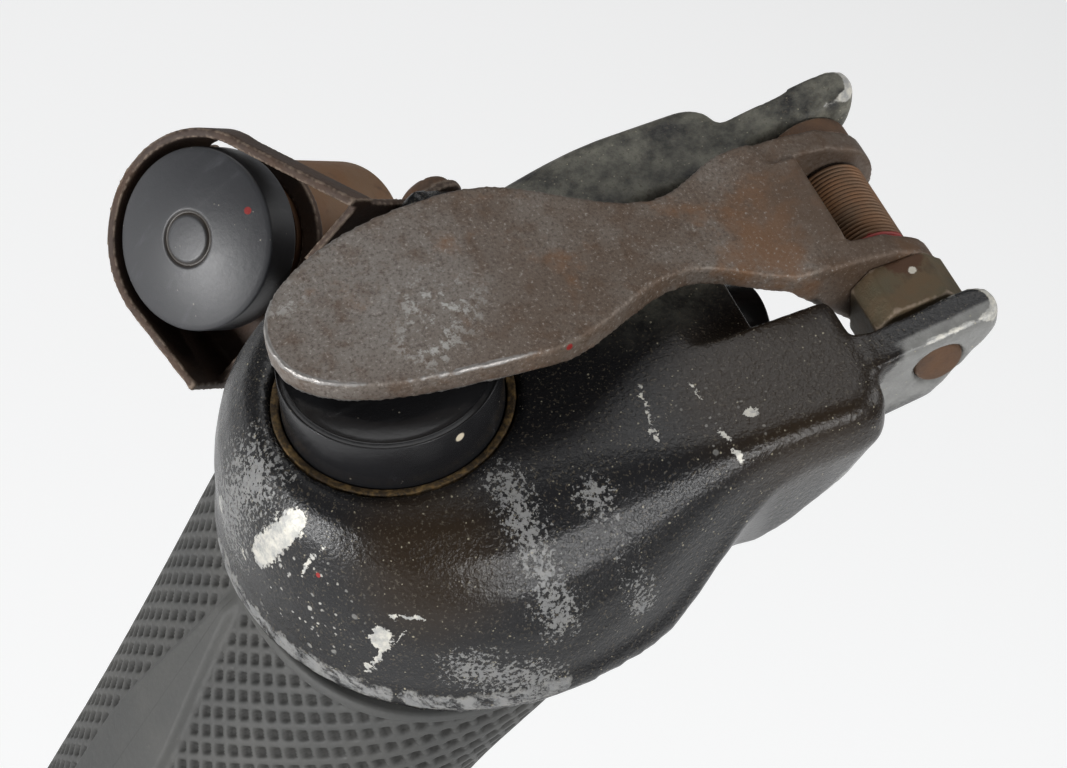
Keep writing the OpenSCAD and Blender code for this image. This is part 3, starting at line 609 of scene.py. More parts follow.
def rounded_line(points, radius, steps=4):
    """A profile with its inner corners rounded."""
    out = [points[0]]
    for before, here, after in zip(points, points[1:], points[2:]):
        p, a, b = np.array(here), np.array(before), np.array(after)
        ra, rb = np.linalg.norm(a - p), np.linalg.norm(b - p)
        cut = min(radius, ra * 0.45, rb * 0.45)
        u, v = p + (a - p) / ra * cut, p + (b - p) / rb * cut
        for t in np.linspace(0, 1, steps + 1):
            out.append(tuple((1 - t) ** 2 * u + 2 * t * (1 - t) * p + t * t * v))
    out.append(points[-1])
    return out


def turned(name, profile, matrix, steps=96):
    """A solid of revolution about Z from a profile of radius and height in millimetres."""
    angles = [2 * math.pi * i / steps for i in range(steps)]
    verts, faces, rows = [], [], []
    for r, z in profile:
        if r < 1e-6:
            rows.append([len(verts)] * steps)
            verts.append((0, 0, z))
        else:
            rows.append(list(range(len(verts), len(verts) + steps)))
            verts += [(r * math.cos(a), r * math.sin(a), z) for a in angles]
    for low, high in zip(rows, rows[1:]):
        for i in range(steps):
            j = (i + 1) % steps
            ring = [low[i], low[j], high[j], high[i]]
            ring = [v for k, v in enumerate(ring) if v != ring[k - 1]]
            if len(ring) > 2:
                faces.append(ring)
    return outward(mesh_of(name, verts, faces, matrix))


def piece(name, mesh, material, body, nodes=(), sharp=None):
    """A finished piece on its body, standing for CAD nodes, smooth but for edges over a sharp angle."""
    mesh.name = name
    mesh.materials.clear()
    mesh.materials.append(material)
    mesh.shade_smooth()
    if sharp is not None:
        mesh.set_sharp_from_angle(angle=math.radians(sharp))
    obj = helper(name, mesh)
    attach(obj, body)
    if nodes:
        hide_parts(*nodes)
    return obj


def node_tree(name, inputs):
    """An empty geometry tree with a material and named inputs: name, socket type and default."""
    tree = bpy.data.node_groups.new(name, "GeometryNodeTree")
    tree.interface.new_socket("Geometry", in_out="INPUT", socket_type="NodeSocketGeometry")
    for label, kind, value in inputs + [("Material", "NodeSocketMaterial", None)]:
        socket = tree.interface.new_socket(label, in_out="INPUT", socket_type=kind)
        if value is not None:
            socket.default_value = value
    tree.interface.new_socket("Geometry", in_out="OUTPUT", socket_type="NodeSocketGeometry")
    return tree


class Steps:
    """Adds nodes to a geometry tree by type, settings and inputs."""

    def __init__(self, tree):
        self.tree = tree
        self.source = tree.nodes.new("NodeGroupInput")

    def given(self, label):
        return self.source.outputs[label]

    def add(self, kind, settings, inputs, output=0):
        return add_node(self.tree, kind, settings, inputs).outputs[output]

    def named(self, label, kind="FLOAT"):
        return self.add("GeometryNodeInputNamedAttribute", {"data_type": kind}, {"Name": label})

    def sums(self, operation, first, second):
        return self.add("ShaderNodeMath", {"operation": operation}, {0: first, 1: second})

    def end(self, geometry):
        """Closes the tree with plain geometry in the given material."""
        real = self.add("GeometryNodeRealizeInstances", {}, {"Geometry": geometry})
        painted = self.add("GeometryNodeSetMaterial", {}, {"Geometry": real, "Material": self.given("Material")})
        add_node(self.tree, "NodeGroupOutput", {}, {"Geometry": painted})


def run_tree(tree, mesh, values):
    """Runs a tree on a mesh with its inputs set by name, and returns the plain result."""
    obj = helper("tree_helper", mesh)
    modifier = obj.modifiers.new("Tree", "NODES")
    modifier.node_group = tree
    for item in tree.interface.items_tree:
        if item.in_out == "INPUT" and item.name in values:
            modifier[item.identifier] = values[item.name]
    return settled(obj)


def coil_tree():
    """A helix of round wire along Z."""
    tree = node_tree("wound_coil", [("Radius", "NodeSocketFloat", 0.003), ("Height", "NodeSocketFloat", 0.01),
                                    ("Turns", "NodeSocketFloat", 6.0), ("Wire", "NodeSocketFloat", 0.0004)])
    s = Steps(tree)
    path = s.add("GeometryNodeCurveSpiral", {}, {
        "Resolution": 40, "Rotations": s.given("Turns"), "Start Radius": s.given("Radius"),
        "End Radius": s.given("Radius"), "Height": s.given("Height")})
    ring = s.add("GeometryNodeCurvePrimitiveCircle", {}, {"Resolution": 12, "Radius": s.given("Wire")})
    s.end(s.add("GeometryNodeCurveToMesh", {}, {"Curve": path, "Profile Curve": ring, "Fill Caps": True}))
    return tree


def fastener_tree():
    """Sets one fastener on every point, turned to the point's own direction."""
    tree = node_tree("fastener_row", [("Fastener", "NodeSocketObject", None)])
    s = Steps(tree)
    shape = s.add("GeometryNodeObjectInfo", {}, {"Object": s.given("Fastener")}, "Geometry")
    way, spin = s.named("way", "FLOAT_VECTOR"), s.named("spin")
    stand = s.add("FunctionNodeAlignRotationToVector", {"axis": "Z"}, {"Vector": way})
    roll = s.add("FunctionNodeAxisAngleToRotation", {}, {"Axis": (0, 0, 1), "Angle": spin})
    rolled = s.add("FunctionNodeRotateRotation", {"rotation_space": "LOCAL"}, {"Rotation": stand, "Rotate By": roll})
    s.end(s.add("GeometryNodeInstanceOnPoints", {}, {
        "Points": s.given("Geometry"), "Instance": shape, "Rotation": rolled}))
    return tree


def pit_tree():
    """Sinks a lattice of pits into a skin, by its own measures around and up."""
    tree = node_tree("pitted_skin", [("Pitch", "NodeSocketFloat", 0.0016), ("Depth", "NodeSocketFloat", 0.0004)])
    s = Steps(tree)
    around, up, keep = [s.named(label) for label in ("around", "up", "keep")]
    pitch = s.sums("MULTIPLY", s.given("Pitch"), math.sqrt(2))
    waves = []
    for operation in ("ADD", "SUBTRACT"):
        run = s.sums("DIVIDE", s.sums(operation, around, up), pitch)
        wave = s.sums("COSINE", s.sums("MULTIPLY", run, 2 * math.pi), 0.0)
        waves.append(s.add("ShaderNodeMapRange", {"interpolation_type": "SMOOTHSTEP"},
                           {"Value": wave, "From Min": -0.6, "From Max": 0.3}))
    pit = s.sums("MULTIPLY", s.sums("MULTIPLY", *waves), keep)
    drop = s.sums("MULTIPLY", s.sums("MULTIPLY", pit, s.given("Depth")), -1.0)
    normal = s.add("GeometryNodeInputNormal", {}, {})
    offset = s.add("ShaderNodeVectorMath", {"operation": "SCALE"}, {0: normal, "Scale": drop})
    marked = s.add("GeometryNodeStoreNamedAttribute", {"data_type": "FLOAT", "domain": "POINT"},
                   {"Geometry": s.given("Geometry"), "Name": "pit", "Value": pit})
    s.end(s.add("GeometryNodeSetPosition", {}, {"Geometry": marked, "Offset": offset}))
    return tree


def smooth(t):
    t = np.clip(t, 0, 1)
    return t * t * (3 - 2 * t)


def head_surface():
    """The head's cast skin, many times finer than the solid's, as a search tree in the part's frame."""
    deck_w, shoulder, corner, drop = 21.6, -7.0, 3, 16.0
    bulb_w, bulb_y, bulb_l = 24.5, -43.5, 23.5

    def swell(y):
        return smooth((-18 - y) / (-18 - bulb_y))

    # The plan of the right half, from the front corner back round the bulb, and its mirror
    line = [(deck_w - corner + corner * math.cos(a), shoulder - corner + corner * math.sin(a))
            for a in np.radians(np.arange(90, -1, -7.5))]
    line += [(deck_w + (bulb_w - deck_w) * swell(y), y) for y in np.arange(-11, -43, -0.8)]
    line += [(bulb_w * math.cos(a), bulb_y - bulb_l * math.sin(a)) for a in np.radians(np.arange(0, 89, 2))]
    plan = np.array(line + [(-x, y) for x, y in reversed(line)], float)
    y = plan[:, 1]
    mid = np.stack([np.zeros(len(plan)), np.clip(y, bulb_y, -22)], 1)
    way = (plan - mid) / np.linalg.norm(plan - mid, axis=1)[:, None]

    # Rings from the keel over the sheer line and the rounded shoulder to the deck: inset and height
    rise = smooth((-16 - y) / 18)
    sheer = -1.5 - (drop - 1.5) * rise
    keel = np.where(y < -20, -drop, -drop + 0.68 * (y + 20))
    inward = np.where(y > bulb_y, 2 + 10 * swell(y), 12 - 6 * smooth((bulb_y - y) / bulb_l))
    upward = 2.6 + 12.4 * smooth((-18 - y) / 25)
    rings = [(0.6 + 2.4 * (1 - rise) + 13 * rise * (1 - rise), keel), (-0.5 * rise, sheer),
             (-0.5 * rise, sheer + 0.3 + 1.7 * rise), (0 * rise, sheer + 0.5 + 2.3 * rise)]
    rings += [(inward * (1 - math.cos(a)), DECK - upward * (1 - math.sin(a)))
              for a in np.radians(np.arange(0, 91, 5))]
    verts, faces, n = [], [], len(plan)
    for inset, height in rings:
        q = plan - way * np.asarray(inset)[:, None]
        q[:, 0] += -1.4 * (1 - smooth((-18 - q[:, 1]) / 25))
        verts += [HEAD @ Vector((px, py, pz)) for (px, py), pz in zip(q, height)]
    for low in range(0, (len(rings) - 1) * n, n):
        faces += [(low + i, low + (i + 1) % n, low + n + (i + 1) % n, low + n + i) for i in range(n)]
    top = (len(rings) - 1) * n
    faces += [(top + i, top + i + 1, top + n - 2 - i, top + n - 1 - i) for i in range(n // 2 - 1)]
    return BVHTree.FromPolygons(verts, faces)


class STICK_OT_head(bpy.types.Operator):
    """Cast head with rounded edges and worn black paint"""
    bl_idname = "stick.head"
    bl_label = "Head Casting"

    def execute(self, context):
        sizes, colours = context.scene.stick_sizes, context.scene.stick_colours
        mesh = soft_copy("head_casting", sizes.head_voxel, 13, 0.0013, head_surface())
        piece("cast_head", mesh, worn_black_paint(colours), "stick", ["head_casting"])
        return {"FINISHED"}


def grip_girth(z):
    """How far the grip is an egg at a height, with its half width and its reach to front and back."""
    t = (z - GRIP_FOOT) / (SEAM - GRIP_FOOT)
    egg = smooth(t / 0.4) * (1 - 0.7 * smooth((t - 0.82) / 0.24))
    wide = 18.5 + 4.3 * smooth((t - 0.55) / 0.45) + 1.4 * (1 - smooth(t / 0.4))
    fore = 14.8 + 2.4 * (1 - smooth(t / 0.35)) + 2.7 * smooth((t - 0.86) / 0.24)
    aft = 16.8 + 2.2 * (1 - smooth(t / 0.35)) + 1.4 * (1 - smooth((t - 0.55) / 0.35))
    return egg, wide, fore, aft


def grip_outline(angle, z):
    """Points of half the grip's outline, from the back at -90 degrees to the front at 90."""
    egg, wide, fore, aft = grip_girth(z)
    middle = -3.5 * egg
    power = np.where(angle < 0, 0.9, 0.9 + 0.25 * egg)
    x = wide * np.power(np.maximum(np.cos(angle), 0), power)
    s = np.sin(angle)
    y = middle + np.where(s < 0, aft + middle, fore - middle) * np.sign(s) * np.power(np.abs(s), power)
    return x, y


def grip_skin(side):
    """Half of the grip: a fine outer skin with its measures stored, closed by a plain inner wall."""
    columns, rows, waist, edge = 250, 388, 100.0, 0.01
    # Columns at even steps round the waist, each ending just under the raked seam
    dense = np.radians(np.linspace(-90, 90, 3001))
    x, y = grip_outline(dense, np.full_like(dense, waist))
    run = np.concatenate([[0], np.cumsum(np.hypot(np.diff(x), np.diff(y)))])
    angle = np.interp(np.linspace(0, run[-1], columns), run, dense)
    ends = np.full(columns, SEAM)
    for _ in range(30):
        seam = SEAM + grip_outline(angle, ends)[1] * math.tan(math.radians(RAKE)) - 0.13
        ends = 0.5 * ends + 0.5 * seam
    z = GRIP_FOOT + np.linspace(0, 1, rows)[:, None] * (ends - GRIP_FOOT)[None, :]
    x, y = grip_outline(np.broadcast_to(angle, z.shape), z)
    steps = np.cumsum(np.hypot(np.diff(x, axis=1), np.diff(y, axis=1)), axis=1)
    around = np.concatenate([np.zeros((rows, 1)), steps], axis=1)
    below = (ends[None, :] - z) * math.cos(math.radians(24))

    # Smooth spine down the back, a lip under the head, and no pits there, at the foot or round the screws
    spine = 0.5 + 4.5 * smooth((121 - z) / 27)
    ridge = smooth((spine + 0.9 - around) / 1.0)
    lip = smooth(below / 0.3) * smooth((1.4 - below) / 0.4)
    out = 0.75 * ridge * smooth((below - 1.0) / 3.0) + 0.45 * lip
    slope = np.stack([np.gradient(y, axis=1), -np.gradient(x, axis=1)], -1)
    slope /= np.maximum(np.linalg.norm(slope, axis=-1, keepdims=True), 1e-9)
    x, y = np.maximum(x + slope[..., 0] * out, edge), y + slope[..., 1] * out
    x[:, 0] = x[:, -1] = edge
    keep = (1 - smooth((spine + 1.6 - around) / 0.8)) * smooth((below - 1.25) / 0.35)
    keep = keep * smooth((z - GRIP_FOOT - 2.5) / 1.2)
    for bolt in SHELL_BOLTS:
        keep = keep * smooth((np.hypot(y, z - bolt) - 4.6) / 0.8)

    # The skin's grid of points, then one row inside its foot and one inside its top
    verts = [np.stack([side * x, y, z], -1).reshape(-1, 3)]
    norm = np.maximum(np.hypot(x, y), 1e-6)
    for k, bore in ((0, 14.6), (rows - 1, 12.2)):
        f = np.minimum(bore / norm[k], 0.97)
        verts.append(np.stack([side * np.maximum(x[k] * f, 0.1), y[k] * f, z[k]], -1))
    n, top, foot_in, top_in = columns, (rows - 1) * columns, rows * columns, (rows + 1) * columns
    faces = [(low + i, low + i + 1, low + n + i + 1, low + n + i) for low in range(0, top, n) for i in range(n - 1)]
    faces += [(i + 1, i, foot_in + i, foot_in + i + 1) for i in range(n - 1)]
    faces += [(top + i, top + i + 1, top_in + i + 1, top_in + i) for i in range(n - 1)]
    faces += [(foot_in + i + 1, foot_in + i, top_in + i, top_in + i + 1) for i in range(n - 1)]
    faces.append((*range(top, -1, -n), foot_in, top_in))
    faces.append((*range(n - 1, top + n, n), top_in + n - 1, foot_in + n - 1))
    if side < 0:
        faces = [face[::-1] for face in faces]
    mesh = mesh_of("grip_half", np.concatenate(verts), faces, PART)
    for label, values in (("around", around * MM), ("up", z * MM), ("keep", keep)):
        store(mesh, label, np.concatenate([values.ravel(), np.zeros(2 * n)]))
    return mesh


def bored(mesh, side):
    """The grip half with a seat sunk for each of its two screws."""
    seat = [(0, 15.9), (3.85, 15.9), (3.85, 27), (0, 27)]
    places = [PART @ shift(0, 0, bolt) @ turn(90 * side, "Y") for bolt in SHELL_BOLTS]
    return carved(mesh, [turned("bore_helper", seat, place, 64) for place in places])


class STICK_OT_grip(bpy.types.Operator):
    """Two moulded grip halves with a lattice of pits, a smooth spine and a lip under the head"""
    bl_idname = "stick.grip"
    bl_label = "Grip Mouldings"

    def execute(self, context):
        sizes, colours = context.scene.stick_sizes, context.scene.stick_colours
        material, tree = pitted_moulding(colours), pit_tree()
        values = {"Pitch": sizes.pit_pitch, "Depth": sizes.pit_depth, "Material": material}
        for name, side in (("left", -1), ("right", 1)):
            mesh = bored(run_tree(tree, grip_skin(side), values), side)
            piece("grip_" + name, mesh, material, "stick", ["grip_shell_" + name], sharp=60)
        return {"FINISHED"}


class STICK_OT_core(bpy.types.Operator):
    """Alloy core and the clamp collar with its lugs"""
    bl_idname = "stick.core"
    bl_label = "Core and Clamp"

    def execute(self, context):
        alloy = plain_metal("core_alloy", rgb(0.36, 0.36, 0.355), 0.34, 0.9)
        for node in ("grip_core", "clamp_collar"):
            mesh = soft_copy(node, context.scene.stick_sizes.core_voxel, 3, 0.0010)
            piece(node + "_alloy", mesh, alloy, "stick", [node])
        return {"FINISHED"}


def fastener(name, profile, slot, sides):
    """A turned fastener with its seat at zero and its head along Z, and a slot by width, bottom and reach."""
    mesh = turned(name, profile, PART, sides)
    if slot is None:
        return mesh
    width, bottom, reach = slot
    corners = [(x, y, z) for x in (-reach, reach) for y in (-width / 2, width / 2) for z in (bottom, bottom + 6)]
    faces = [(0, 1, 3, 2), (4, 6, 7, 5), (0, 4, 5, 1), (2, 3, 7, 6), (0, 2, 6, 4), (1, 5, 7, 3)]
    return carved(mesh, [outward(mesh_of("slot_helper", corners, faces, PART))])


def fastener_points(places):
    """Points with their directions and spins: place and direction in the part's frame."""
    points, ways, spins = zip(*places)
    mesh = mesh_of("fastener_points", points, [])
    way = mesh.attributes.new("way", "FLOAT_VECTOR", "POINT")
    way.data.foreach_set("vector", np.array(ways, np.float32).ravel())
    return store(mesh, "spin", spins)


def pan(head, shank, length, height, dome):
    """Profile of a screw: shank below zero, then a domed head."""
    rim = height * 0.45
    line = [(0, -length), (shank - 0.3, -length), (shank, -length + 0.4), (shank, 0), (head, 0), (head, rim)]
    line = rounded_line(line, 0.12, 2)
    line += [(head * math.cos(a), rim + dome * math.sin(a)) for a in np.linspace(0.12, math.pi / 2, 9)[:-1]]
    return line + [(0, rim + dome)]


NUT = [(2.05, 0), (4.0, 0), (4.2, 0.3), (4.2, 3.1), (4.0, 3.4), (2.05, 3.4), (2.05, 0)]


class STICK_OT_fasteners(bpy.types.Operator):
    """Slotted screws and nuts of the shells, clamp, guard and head"""
    bl_idname = "stick.fasteners"
    bl_label = "Fasteners"

    def execute(self, context):
        colours = context.scene.stick_colours
        steel = plain_metal("dull_screw_steel", rgb(0.30, 0.285, 0.265), 0.4, 0.85)
        rust = rusted_steel(colours, "rusted_screws", rgb(0.09, 0.055, 0.036), 0.7)
        tree = fastener_tree()
        # Where each fastener sits, the way its head points and how far it is turned
        right, left = Vector((1, 0, 0)), Vector((-1, 0, 0))
        inward = -(THUMB.to_3x3().normalized() @ Vector((1, 0, 0)))
        down = -(HEAD.to_3x3().normalized() @ Vector((0, 0, 1)))
        seats = [(z, way) for way in (right, left) for z in SHELL_BOLTS]
        shell = [((way.x * 0.016, 0, z * MM), way, 0.4 + 0.9 * k) for k, (z, way) in enumerate(seats)]
        clamp = [((0.0081, 0.0222, z * MM), right, 0.5 + z) for z in CLAMP_BOLTS]
        nuts = [((-0.0081, 0.0222, z * MM), left, 0.2 * z) for z in CLAMP_BOLTS]
        guard = [(THUMB @ Vector((9.6, y, z)), inward, 0.7 * k)
                 for k, (y, z) in enumerate([(15.2, -17), (7.4, -15.4)])]
        head = [(HEAD @ Vector((x, y, -20.1)), down, 0.5 * k)
                for k, (x, y) in enumerate([(14.2, -46), (-14.2, -46), (8.5, -34.5)])]
        for kind, profile, cut, sides, places, material in (
                ("shell_screw", pan(3.75, 1.9, 6.8, 2.6, 0.9), (0.9, 1.25, 5), 40, shell, steel),
                ("clamp_screw", pan(4.0, 2.0, 21.0, 5.2, 1.0), (1.2, 2.1, 6), 40, clamp, steel),
                ("clamp_nut", NUT, None, 6, nuts, steel),
                ("guard_screw", pan(3.1, 1.45, 7.9, 0.9, 1.7), (0.8, 1.3, 5), 40, guard, rust),
                ("head_screw", pan(2.8, 1.55, 11.0, 4.9, 0.4), (0.8, 1.6, 5), 40, head, steel)):
            source = helper(kind, fastener(kind, profile, cut, sides))
            mesh = run_tree(tree, fastener_points(places), {"Fastener": source, "Material": material})
            discard(source)
            slot = "rust_steel" if material == rust else "screw_steel"
            piece(kind + "_set", with_wear(mesh, 0.0004), material, "stick", [kind + "s"], sharp=35)
        return {"FINISHED"}


class STICK_OT_lever(bpy.types.Operator):
    """Trigger lever with rounded edges and brown worn steel, and the block that turns with it"""
    bl_idname = "stick.lever"
    bl_label = "Trigger Lever"

    def execute(self, context):
        sizes, colours = context.scene.stick_sizes, context.scene.stick_colours
        mesh = soft_copy("trigger_lever", sizes.lever_voxel, 5, 0.0009)
        piece("flip_lever", mesh, brown_lever_steel(colours), "trigger_lever", ["trigger_lever"])
        mesh = soft_copy("hinge_block", sizes.sheet_voxel, 2, 0.0007)
        marks = [((5.6, 27.8, 174.8), 2.6, rgb(0.075, 0.036, 0.018)),
                 ((7.2, 28.0, 174.9), 0.55, rgb(0.55, 0.52, 0.45))]
        material = rusted_steel(colours, "olive_block_steel", rgb(0.085, 0.071, 0.042), 0.35, 0.45, marks)
        piece("pin_block", mesh, material, "trigger_lever", ["hinge_block"])
        return {"FINISHED"}


class STICK_OT_hinge(bpy.types.Operator):
    """Hinge pin and spacer"""
    bl_idname = "stick.hinge"
    bl_label = "Hinge Pin"

    def execute(self, context):
        colours = context.scene.stick_colours
        rust = rusted_steel(colours, "rusted_pin", rgb(0.075, 0.042, 0.025), 0.45)
        left, right, radius = LEFT_EAR - 3.4, RIGHT_EAR + 3.4, 2.48
        pin = rounded_line([(0, left), (radius, left), (radius, right), (0, right)], 0.45)
        low, high, hole, rim = LEFT_EAR + 0.1, LEFT_EAR + 2.5, 2.53, 4.6
        start = (hole, (low + high) / 2)
        ring = rounded_line([start, (hole, low), (rim, low), (rim, high), (hole, high), start], 0.35)
        for name, profile, node in (("pin", pin, "hinge_pin"), ("pin_spacer", ring, "hinge_spacer")):
            mesh = with_wear(turned(name, profile, PIN), 0.0005)
            piece(name, mesh, rust, "stick", [node])
        return {"FINISHED"}


class STICK_OT_guard(bpy.types.Operator):
    """Bent sheet guard round the thumb button, and the steel can of its switch"""
    bl_idname = "stick.guard"
    bl_label = "Thumb Guard"

    def execute(self, context):
        sizes, colours = context.scene.stick_sizes, context.scene.stick_colours
        mesh = soft_copy("thumb_guard", sizes.sheet_voxel, 3, 0.0006)
        steel = rusted_steel(colours, "dark_guard_steel", colours.guard, 0.22, 0.4)
        piece("hoop_guard", mesh, steel, "stick", ["thumb_guard"])
        radius, inner, top, floor, low = 8.2, 7.1, -10.7, -18.4, -27.0
        # The can's domed back is part of a ball whose middle lies this far above the dome's rim
        middle = 7.2
        ball = math.hypot(middle, radius)
        dome = [(ball * math.sin(a), -19.8 - ball * math.cos(a))
                for a in np.linspace(0, math.atan2(radius, middle), 14)]
        wall = [dome[-1], (radius, low + 0.2), (radius, top), (inner, top), (inner, floor), (0, floor)]
        can = dome + rounded_line(wall, 0.3)[1:]
        rust = rusted_steel(colours, "rusted_can", rgb(0.17, 0.098, 0.052), 0.85, 0.15)
        mesh = with_wear(turned("switch_can", can, THUMB), 0.0004)
        piece("switch_can", mesh, rust, "stick", ["thumb_switch_can"], sharp=40)
        return {"FINISHED"}


def cap_profile(radius, top, bottom, stem, roof, hollow, foot, crown):
    """Profile of a push-button cap: stem, hollow underside, skirt and crown."""
    under = [(0, foot), (stem, foot), (stem, roof), (hollow, roof), (hollow, bottom), (radius, bottom)]
    return rounded_line(under + [(radius, top), crown[0]], 0.45, 5)[:-1] + crown


def domed(radius, top, rise, edge):
    """A crown that rises over a cap's top, from just inside its edge to its middle."""
    ball = (radius * radius + rise * rise) / (2 * rise)
    return [(r, top + rise - ball + math.sqrt(ball * ball - r * r)) for r in np.linspace(radius - edge, 0, 64)]


class STICK_OT_buttons(bpy.types.Operator):
    """Dished top button with its ring, domed thumb button and domed front button"""
    bl_idname = "stick.buttons"
    bl_label = "Buttons"

    def execute(self, context):
        gloss = button_moulding("gloss_black_button", rgb(0.012, 0.012, 0.013), 0.16)
        satin = button_moulding("satin_grey_button", rgb(0.036, 0.037, 0.041), 0.34, True)
        # The top cap's dish is sunk into its crown as part of a ball of 40 mm radius
        dish = [(10.2, 5.02), (9.95, 5.2), (9.75, 5.16)]
        dish += [(r, min(5.2 + 39.2 - math.sqrt(40 ** 2 - r * r), 5.1)) for r in np.linspace(9.6, 0, 24)]
        mesh = turned("top_cap", cap_profile(10.5, 5.2, -4.8, 2.5, 2.8, 4.7, -12.8, dish), TOP, 128)
        piece("top_cap", mesh, gloss, "top_button", ["top_button"])
        hole, rim = 10.65, 11.5
        ring = [(hole, -0.9), (hole, -1.5), (rim, -1.5), (rim, -0.35), (hole, -0.5), (hole, -0.9)]
        mesh = turned("top_ring", rounded_line(ring, 0.25), TOP, 128)
        piece("top_ring", mesh, tarnished_ring(), "stick", ["top_seal_ring"])

        # The thumb cap's ring is cut into its crown, and stored where it is for its dark colour
        ring = 2.65
        crown = [(r, z - 0.26 * math.exp(-((r - ring) / 0.2) ** 2)) for r, z in domed(9.3, -1.2, 1.6, 0.5)]
        mesh = turned("thumb_cap", cap_profile(9.3, -1.25, -5.6, 2.3, -3.6, 4.5, -12.4, crown), THUMB, 128)
        back = THUMB.inverted()
        local = np.array([back @ Vector(point) for point in points_of(mesh)])
        reach, high = np.hypot(local[:, 0], local[:, 1]), local[:, 2]
        store(mesh, "groove", np.exp(-((reach - ring) / 0.26) ** 2) * (high > -1.0))
        piece("thumb_cap", mesh, satin, "thumb_button", ["thumb_button"])

        crown = domed(5.4, 6.6, 1.0, 0.4)
        mesh = turned("front_cap", cap_profile(5.4, 6.55, -3.2, 1.6, 4.2, 3.8, -9.6, crown), FRONT, 96)
        piece("front_cap", mesh, gloss, "front_button", ["front_button"])
        return {"FINISHED"}


def wound(tree, place, radius, low, height, turns, wire, material):
    """A coil about a frame's Z axis, with its radius, foot and height in millimetres."""
    values = {"Radius": radius * MM, "Height": height * MM, "Turns": turns, "Wire": wire, "Material": material}
    mesh = run_tree(tree, bpy.data.meshes.new("coil_start"), values)
    mesh.transform(place @ shift(0, 0, low) @ Matrix.Scale(1 / MM, 4))
    return mesh


class STICK_OT_springs(bpy.types.Operator):
    """Wound hinge spring and the three switch springs"""
    bl_idname = "stick.springs"
    bl_label = "Springs"

    def execute(self, context):
        sizes, colours = context.scene.stick_sizes, context.scene.stick_colours
        tree, red = coil_tree(), hinge_wire(colours)
        mesh = wound(tree, PIN, 3.45, -9.1, 10.6, sizes.hinge_turns, sizes.hinge_wire / 2, red)
        piece("hinge_coil", mesh, red, "trigger_lever", ["hinge_spring"])
        wire, seat = plain_metal("coil_wire", rgb(0.42, 0.42, 0.41), 0.3, 0.9), 0.42
        for name, frame_of, radius, low, high, turns, joint, go in (
                ("top", TOP, 3.7, -8.8, 2.8, 6.0, "top_button_press", 3.0),
                ("thumb", THUMB, 3.5, -9.0, -3.6, 3.4, "thumb_button_press", 2.5),
                ("front", FRONT, 2.8, -6.6, 4.2, 6.0, "front_button_press", 2.5)):
            mesh = wound(tree, frame_of, radius, low + seat, high - low - 2 * seat, turns, 0.00036, wire)
            obj = piece(name + "_coil", mesh, wire, "stick", [name + "_spring"])
            axis = frame_of.to_3x3() @ Vector((0, 0, 1))
            tuple(frame_of @ Vector((0, 0, low)))
            1 - go / (high - low)
            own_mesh(obj)
        return {"FINISHED"}


class STICK_OT_switches(bpy.types.Operator):
    """Finishes of the switch bodies, posts and bridge plates, which keep their own solids"""
    bl_idname = "stick.switches"
    bl_label = "Switch Bodies"

    def execute(self, context):
        brown, brass = phenolic(), plain_metal("contact_brass", rgb(0.62, 0.43, 0.15), 0.3, 0.9)
        for place in ("top", "thumb", "front"):
            for part, material in (("switch_body", brown), ("contacts", brass), ("bridge", brass)):
                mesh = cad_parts[place + "_" + part].data
                mesh.materials.clear()
                mesh.materials.append(material)
        return {"FINISHED"}


# The photograph's camera: its place in metres, its own right and back, and its lens on a 36 mm sensor
CAMERA_PLACE, LENS = (0.21264, -0.21218, 0.33896), 126.35
CAMERA_RIGHT, CAMERA_BACK = Vector((0.386, 0.796, 0.465)), Vector((0.598, -0.600, 0.532)).normalized()
# Square lights that face the head: place, side and power
LIGHTS = [("side", (0.74, -0.065, 0.46), 0.24, 4.0), ("over", (0.1, 0.55, 0.85), 0.6, 4.0),
          ("left", (-0.62, -0.25, 0.89), 0.6, 2.6), ("low", (0.03, -0.38, 0.04), 0.09, 1.1)]


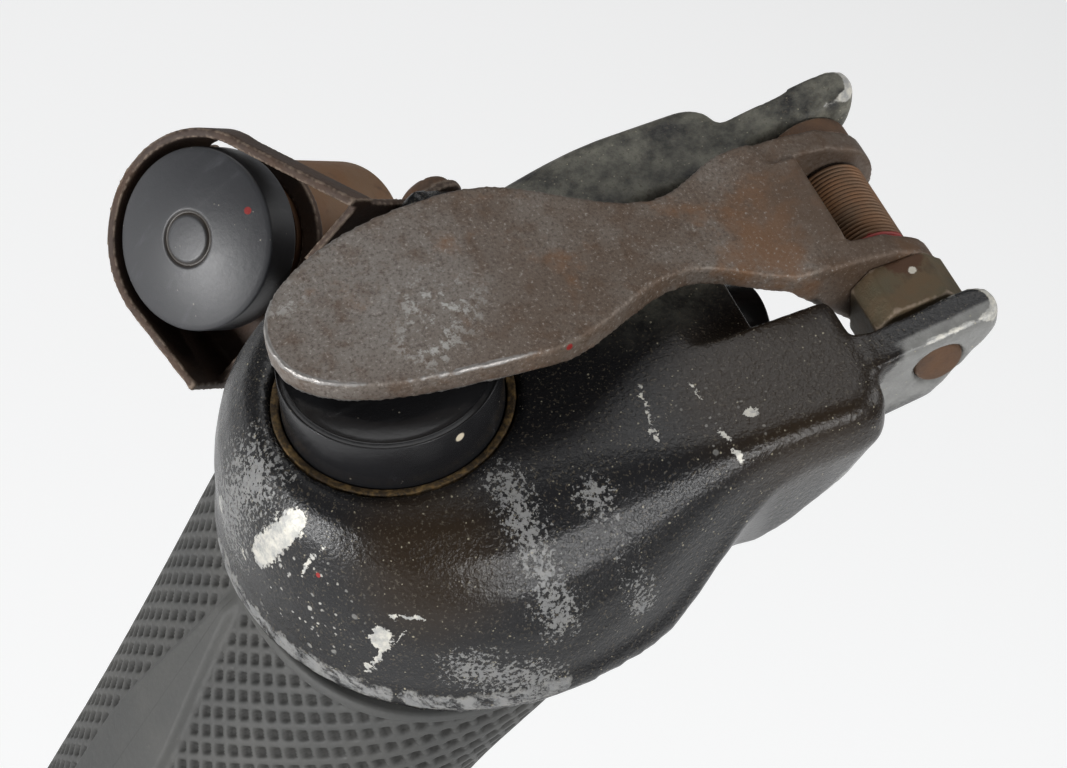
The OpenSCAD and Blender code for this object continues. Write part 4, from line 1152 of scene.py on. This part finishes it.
class STICK_OT_stage(bpy.types.Operator):
    """Pale floor, soft light and the camera"""
    bl_idname = "stick.stage"
    bl_label = "Stage"

    def execute(self, context):
        scene = context.scene
        side, level = scene.stick_sizes.floor_size / 2, -0.001
        corners = [(-side, -side, level), (side, -side, level), (side, side, level), (-side, side, level)]
        mesh = mesh_of("floor", corners, [(0, 1, 2, 3)])
        mesh.materials.append(studio_floor())
        helper("floor", mesh)
        world = bpy.data.worlds.new("pale_studio")
        world.use_nodes = True
        sky = world.node_tree.nodes["Background"]
        sky.inputs["Color"].default_value = (0.95, 0.96, 0.97, 1)
        sky.inputs["Strength"].default_value = 0.1
        scene.world = world
        scene.view_settings.view_transform = "Standard"
        aim = Vector((0, 0, 0.15))
        for name, place, size, power in LIGHTS:
            light = bpy.data.lights.new(name, "AREA")
            light.size, light.energy = size, power
            obj = helper(name, light)
            obj.visible_camera = False
            obj.location = place
            obj.rotation_euler = (aim - Vector(place)).to_track_quat("-Z", "Y").to_euler()
        camera = bpy.data.cameras.new("camera")
        camera.lens, camera.sensor_width = LENS, 36.0
        camera.clip_start, camera.clip_end = 0.01, 50
        obj = helper("camera", camera)
        right = (CAMERA_RIGHT - CAMERA_BACK * CAMERA_RIGHT.dot(CAMERA_BACK)).normalized()
        pose = Matrix((right, CAMERA_BACK.cross(right), CAMERA_BACK)).transposed().to_4x4()
        pose.translation = CAMERA_PLACE
        obj.matrix_world = pose
        scene.camera = obj
        return {"FINISHED"}


class STICK_PT_panel(bpy.types.Panel):
    """Lists the pieces and their sizes and colours"""
    bl_idname = "STICK_PT_panel"
    bl_label = "Control Stick Grip"
    bl_space_type = "VIEW_3D"
    bl_region_type = "UI"
    bl_category = "Stick"

    def draw(self, context):
        for group in (context.scene.stick_sizes, context.scene.stick_colours):
            box = self.layout.box()
            for key in group.__annotations__:
                box.prop(group, key)
        for operator in OPERATORS:
            self.layout.operator(operator.bl_idname)


OPERATORS = (STICK_OT_stage, STICK_OT_head, STICK_OT_grip, STICK_OT_core, STICK_OT_fasteners, STICK_OT_lever,
             STICK_OT_hinge, STICK_OT_guard, STICK_OT_buttons, STICK_OT_springs, STICK_OT_switches)
CLASSES = (StickSizes, StickColours, *OPERATORS, STICK_PT_panel)


def register():
    for cls in CLASSES:
        bpy.utils.register_class(cls)
    bpy.types.Scene.stick_sizes = bpy.props.PointerProperty(type=StickSizes)
    bpy.types.Scene.stick_colours = bpy.props.PointerProperty(type=StickColours)


def unregister():
    del bpy.types.Scene.stick_sizes
    del bpy.types.Scene.stick_colours
    for cls in reversed(CLASSES):
        bpy.utils.unregister_class(cls)


def main():
    register()
    for operator in OPERATORS:
        group, name = operator.bl_idname.split(".")
        getattr(getattr(bpy.ops, group), name)()


if __name__ == "__main__":
    main()
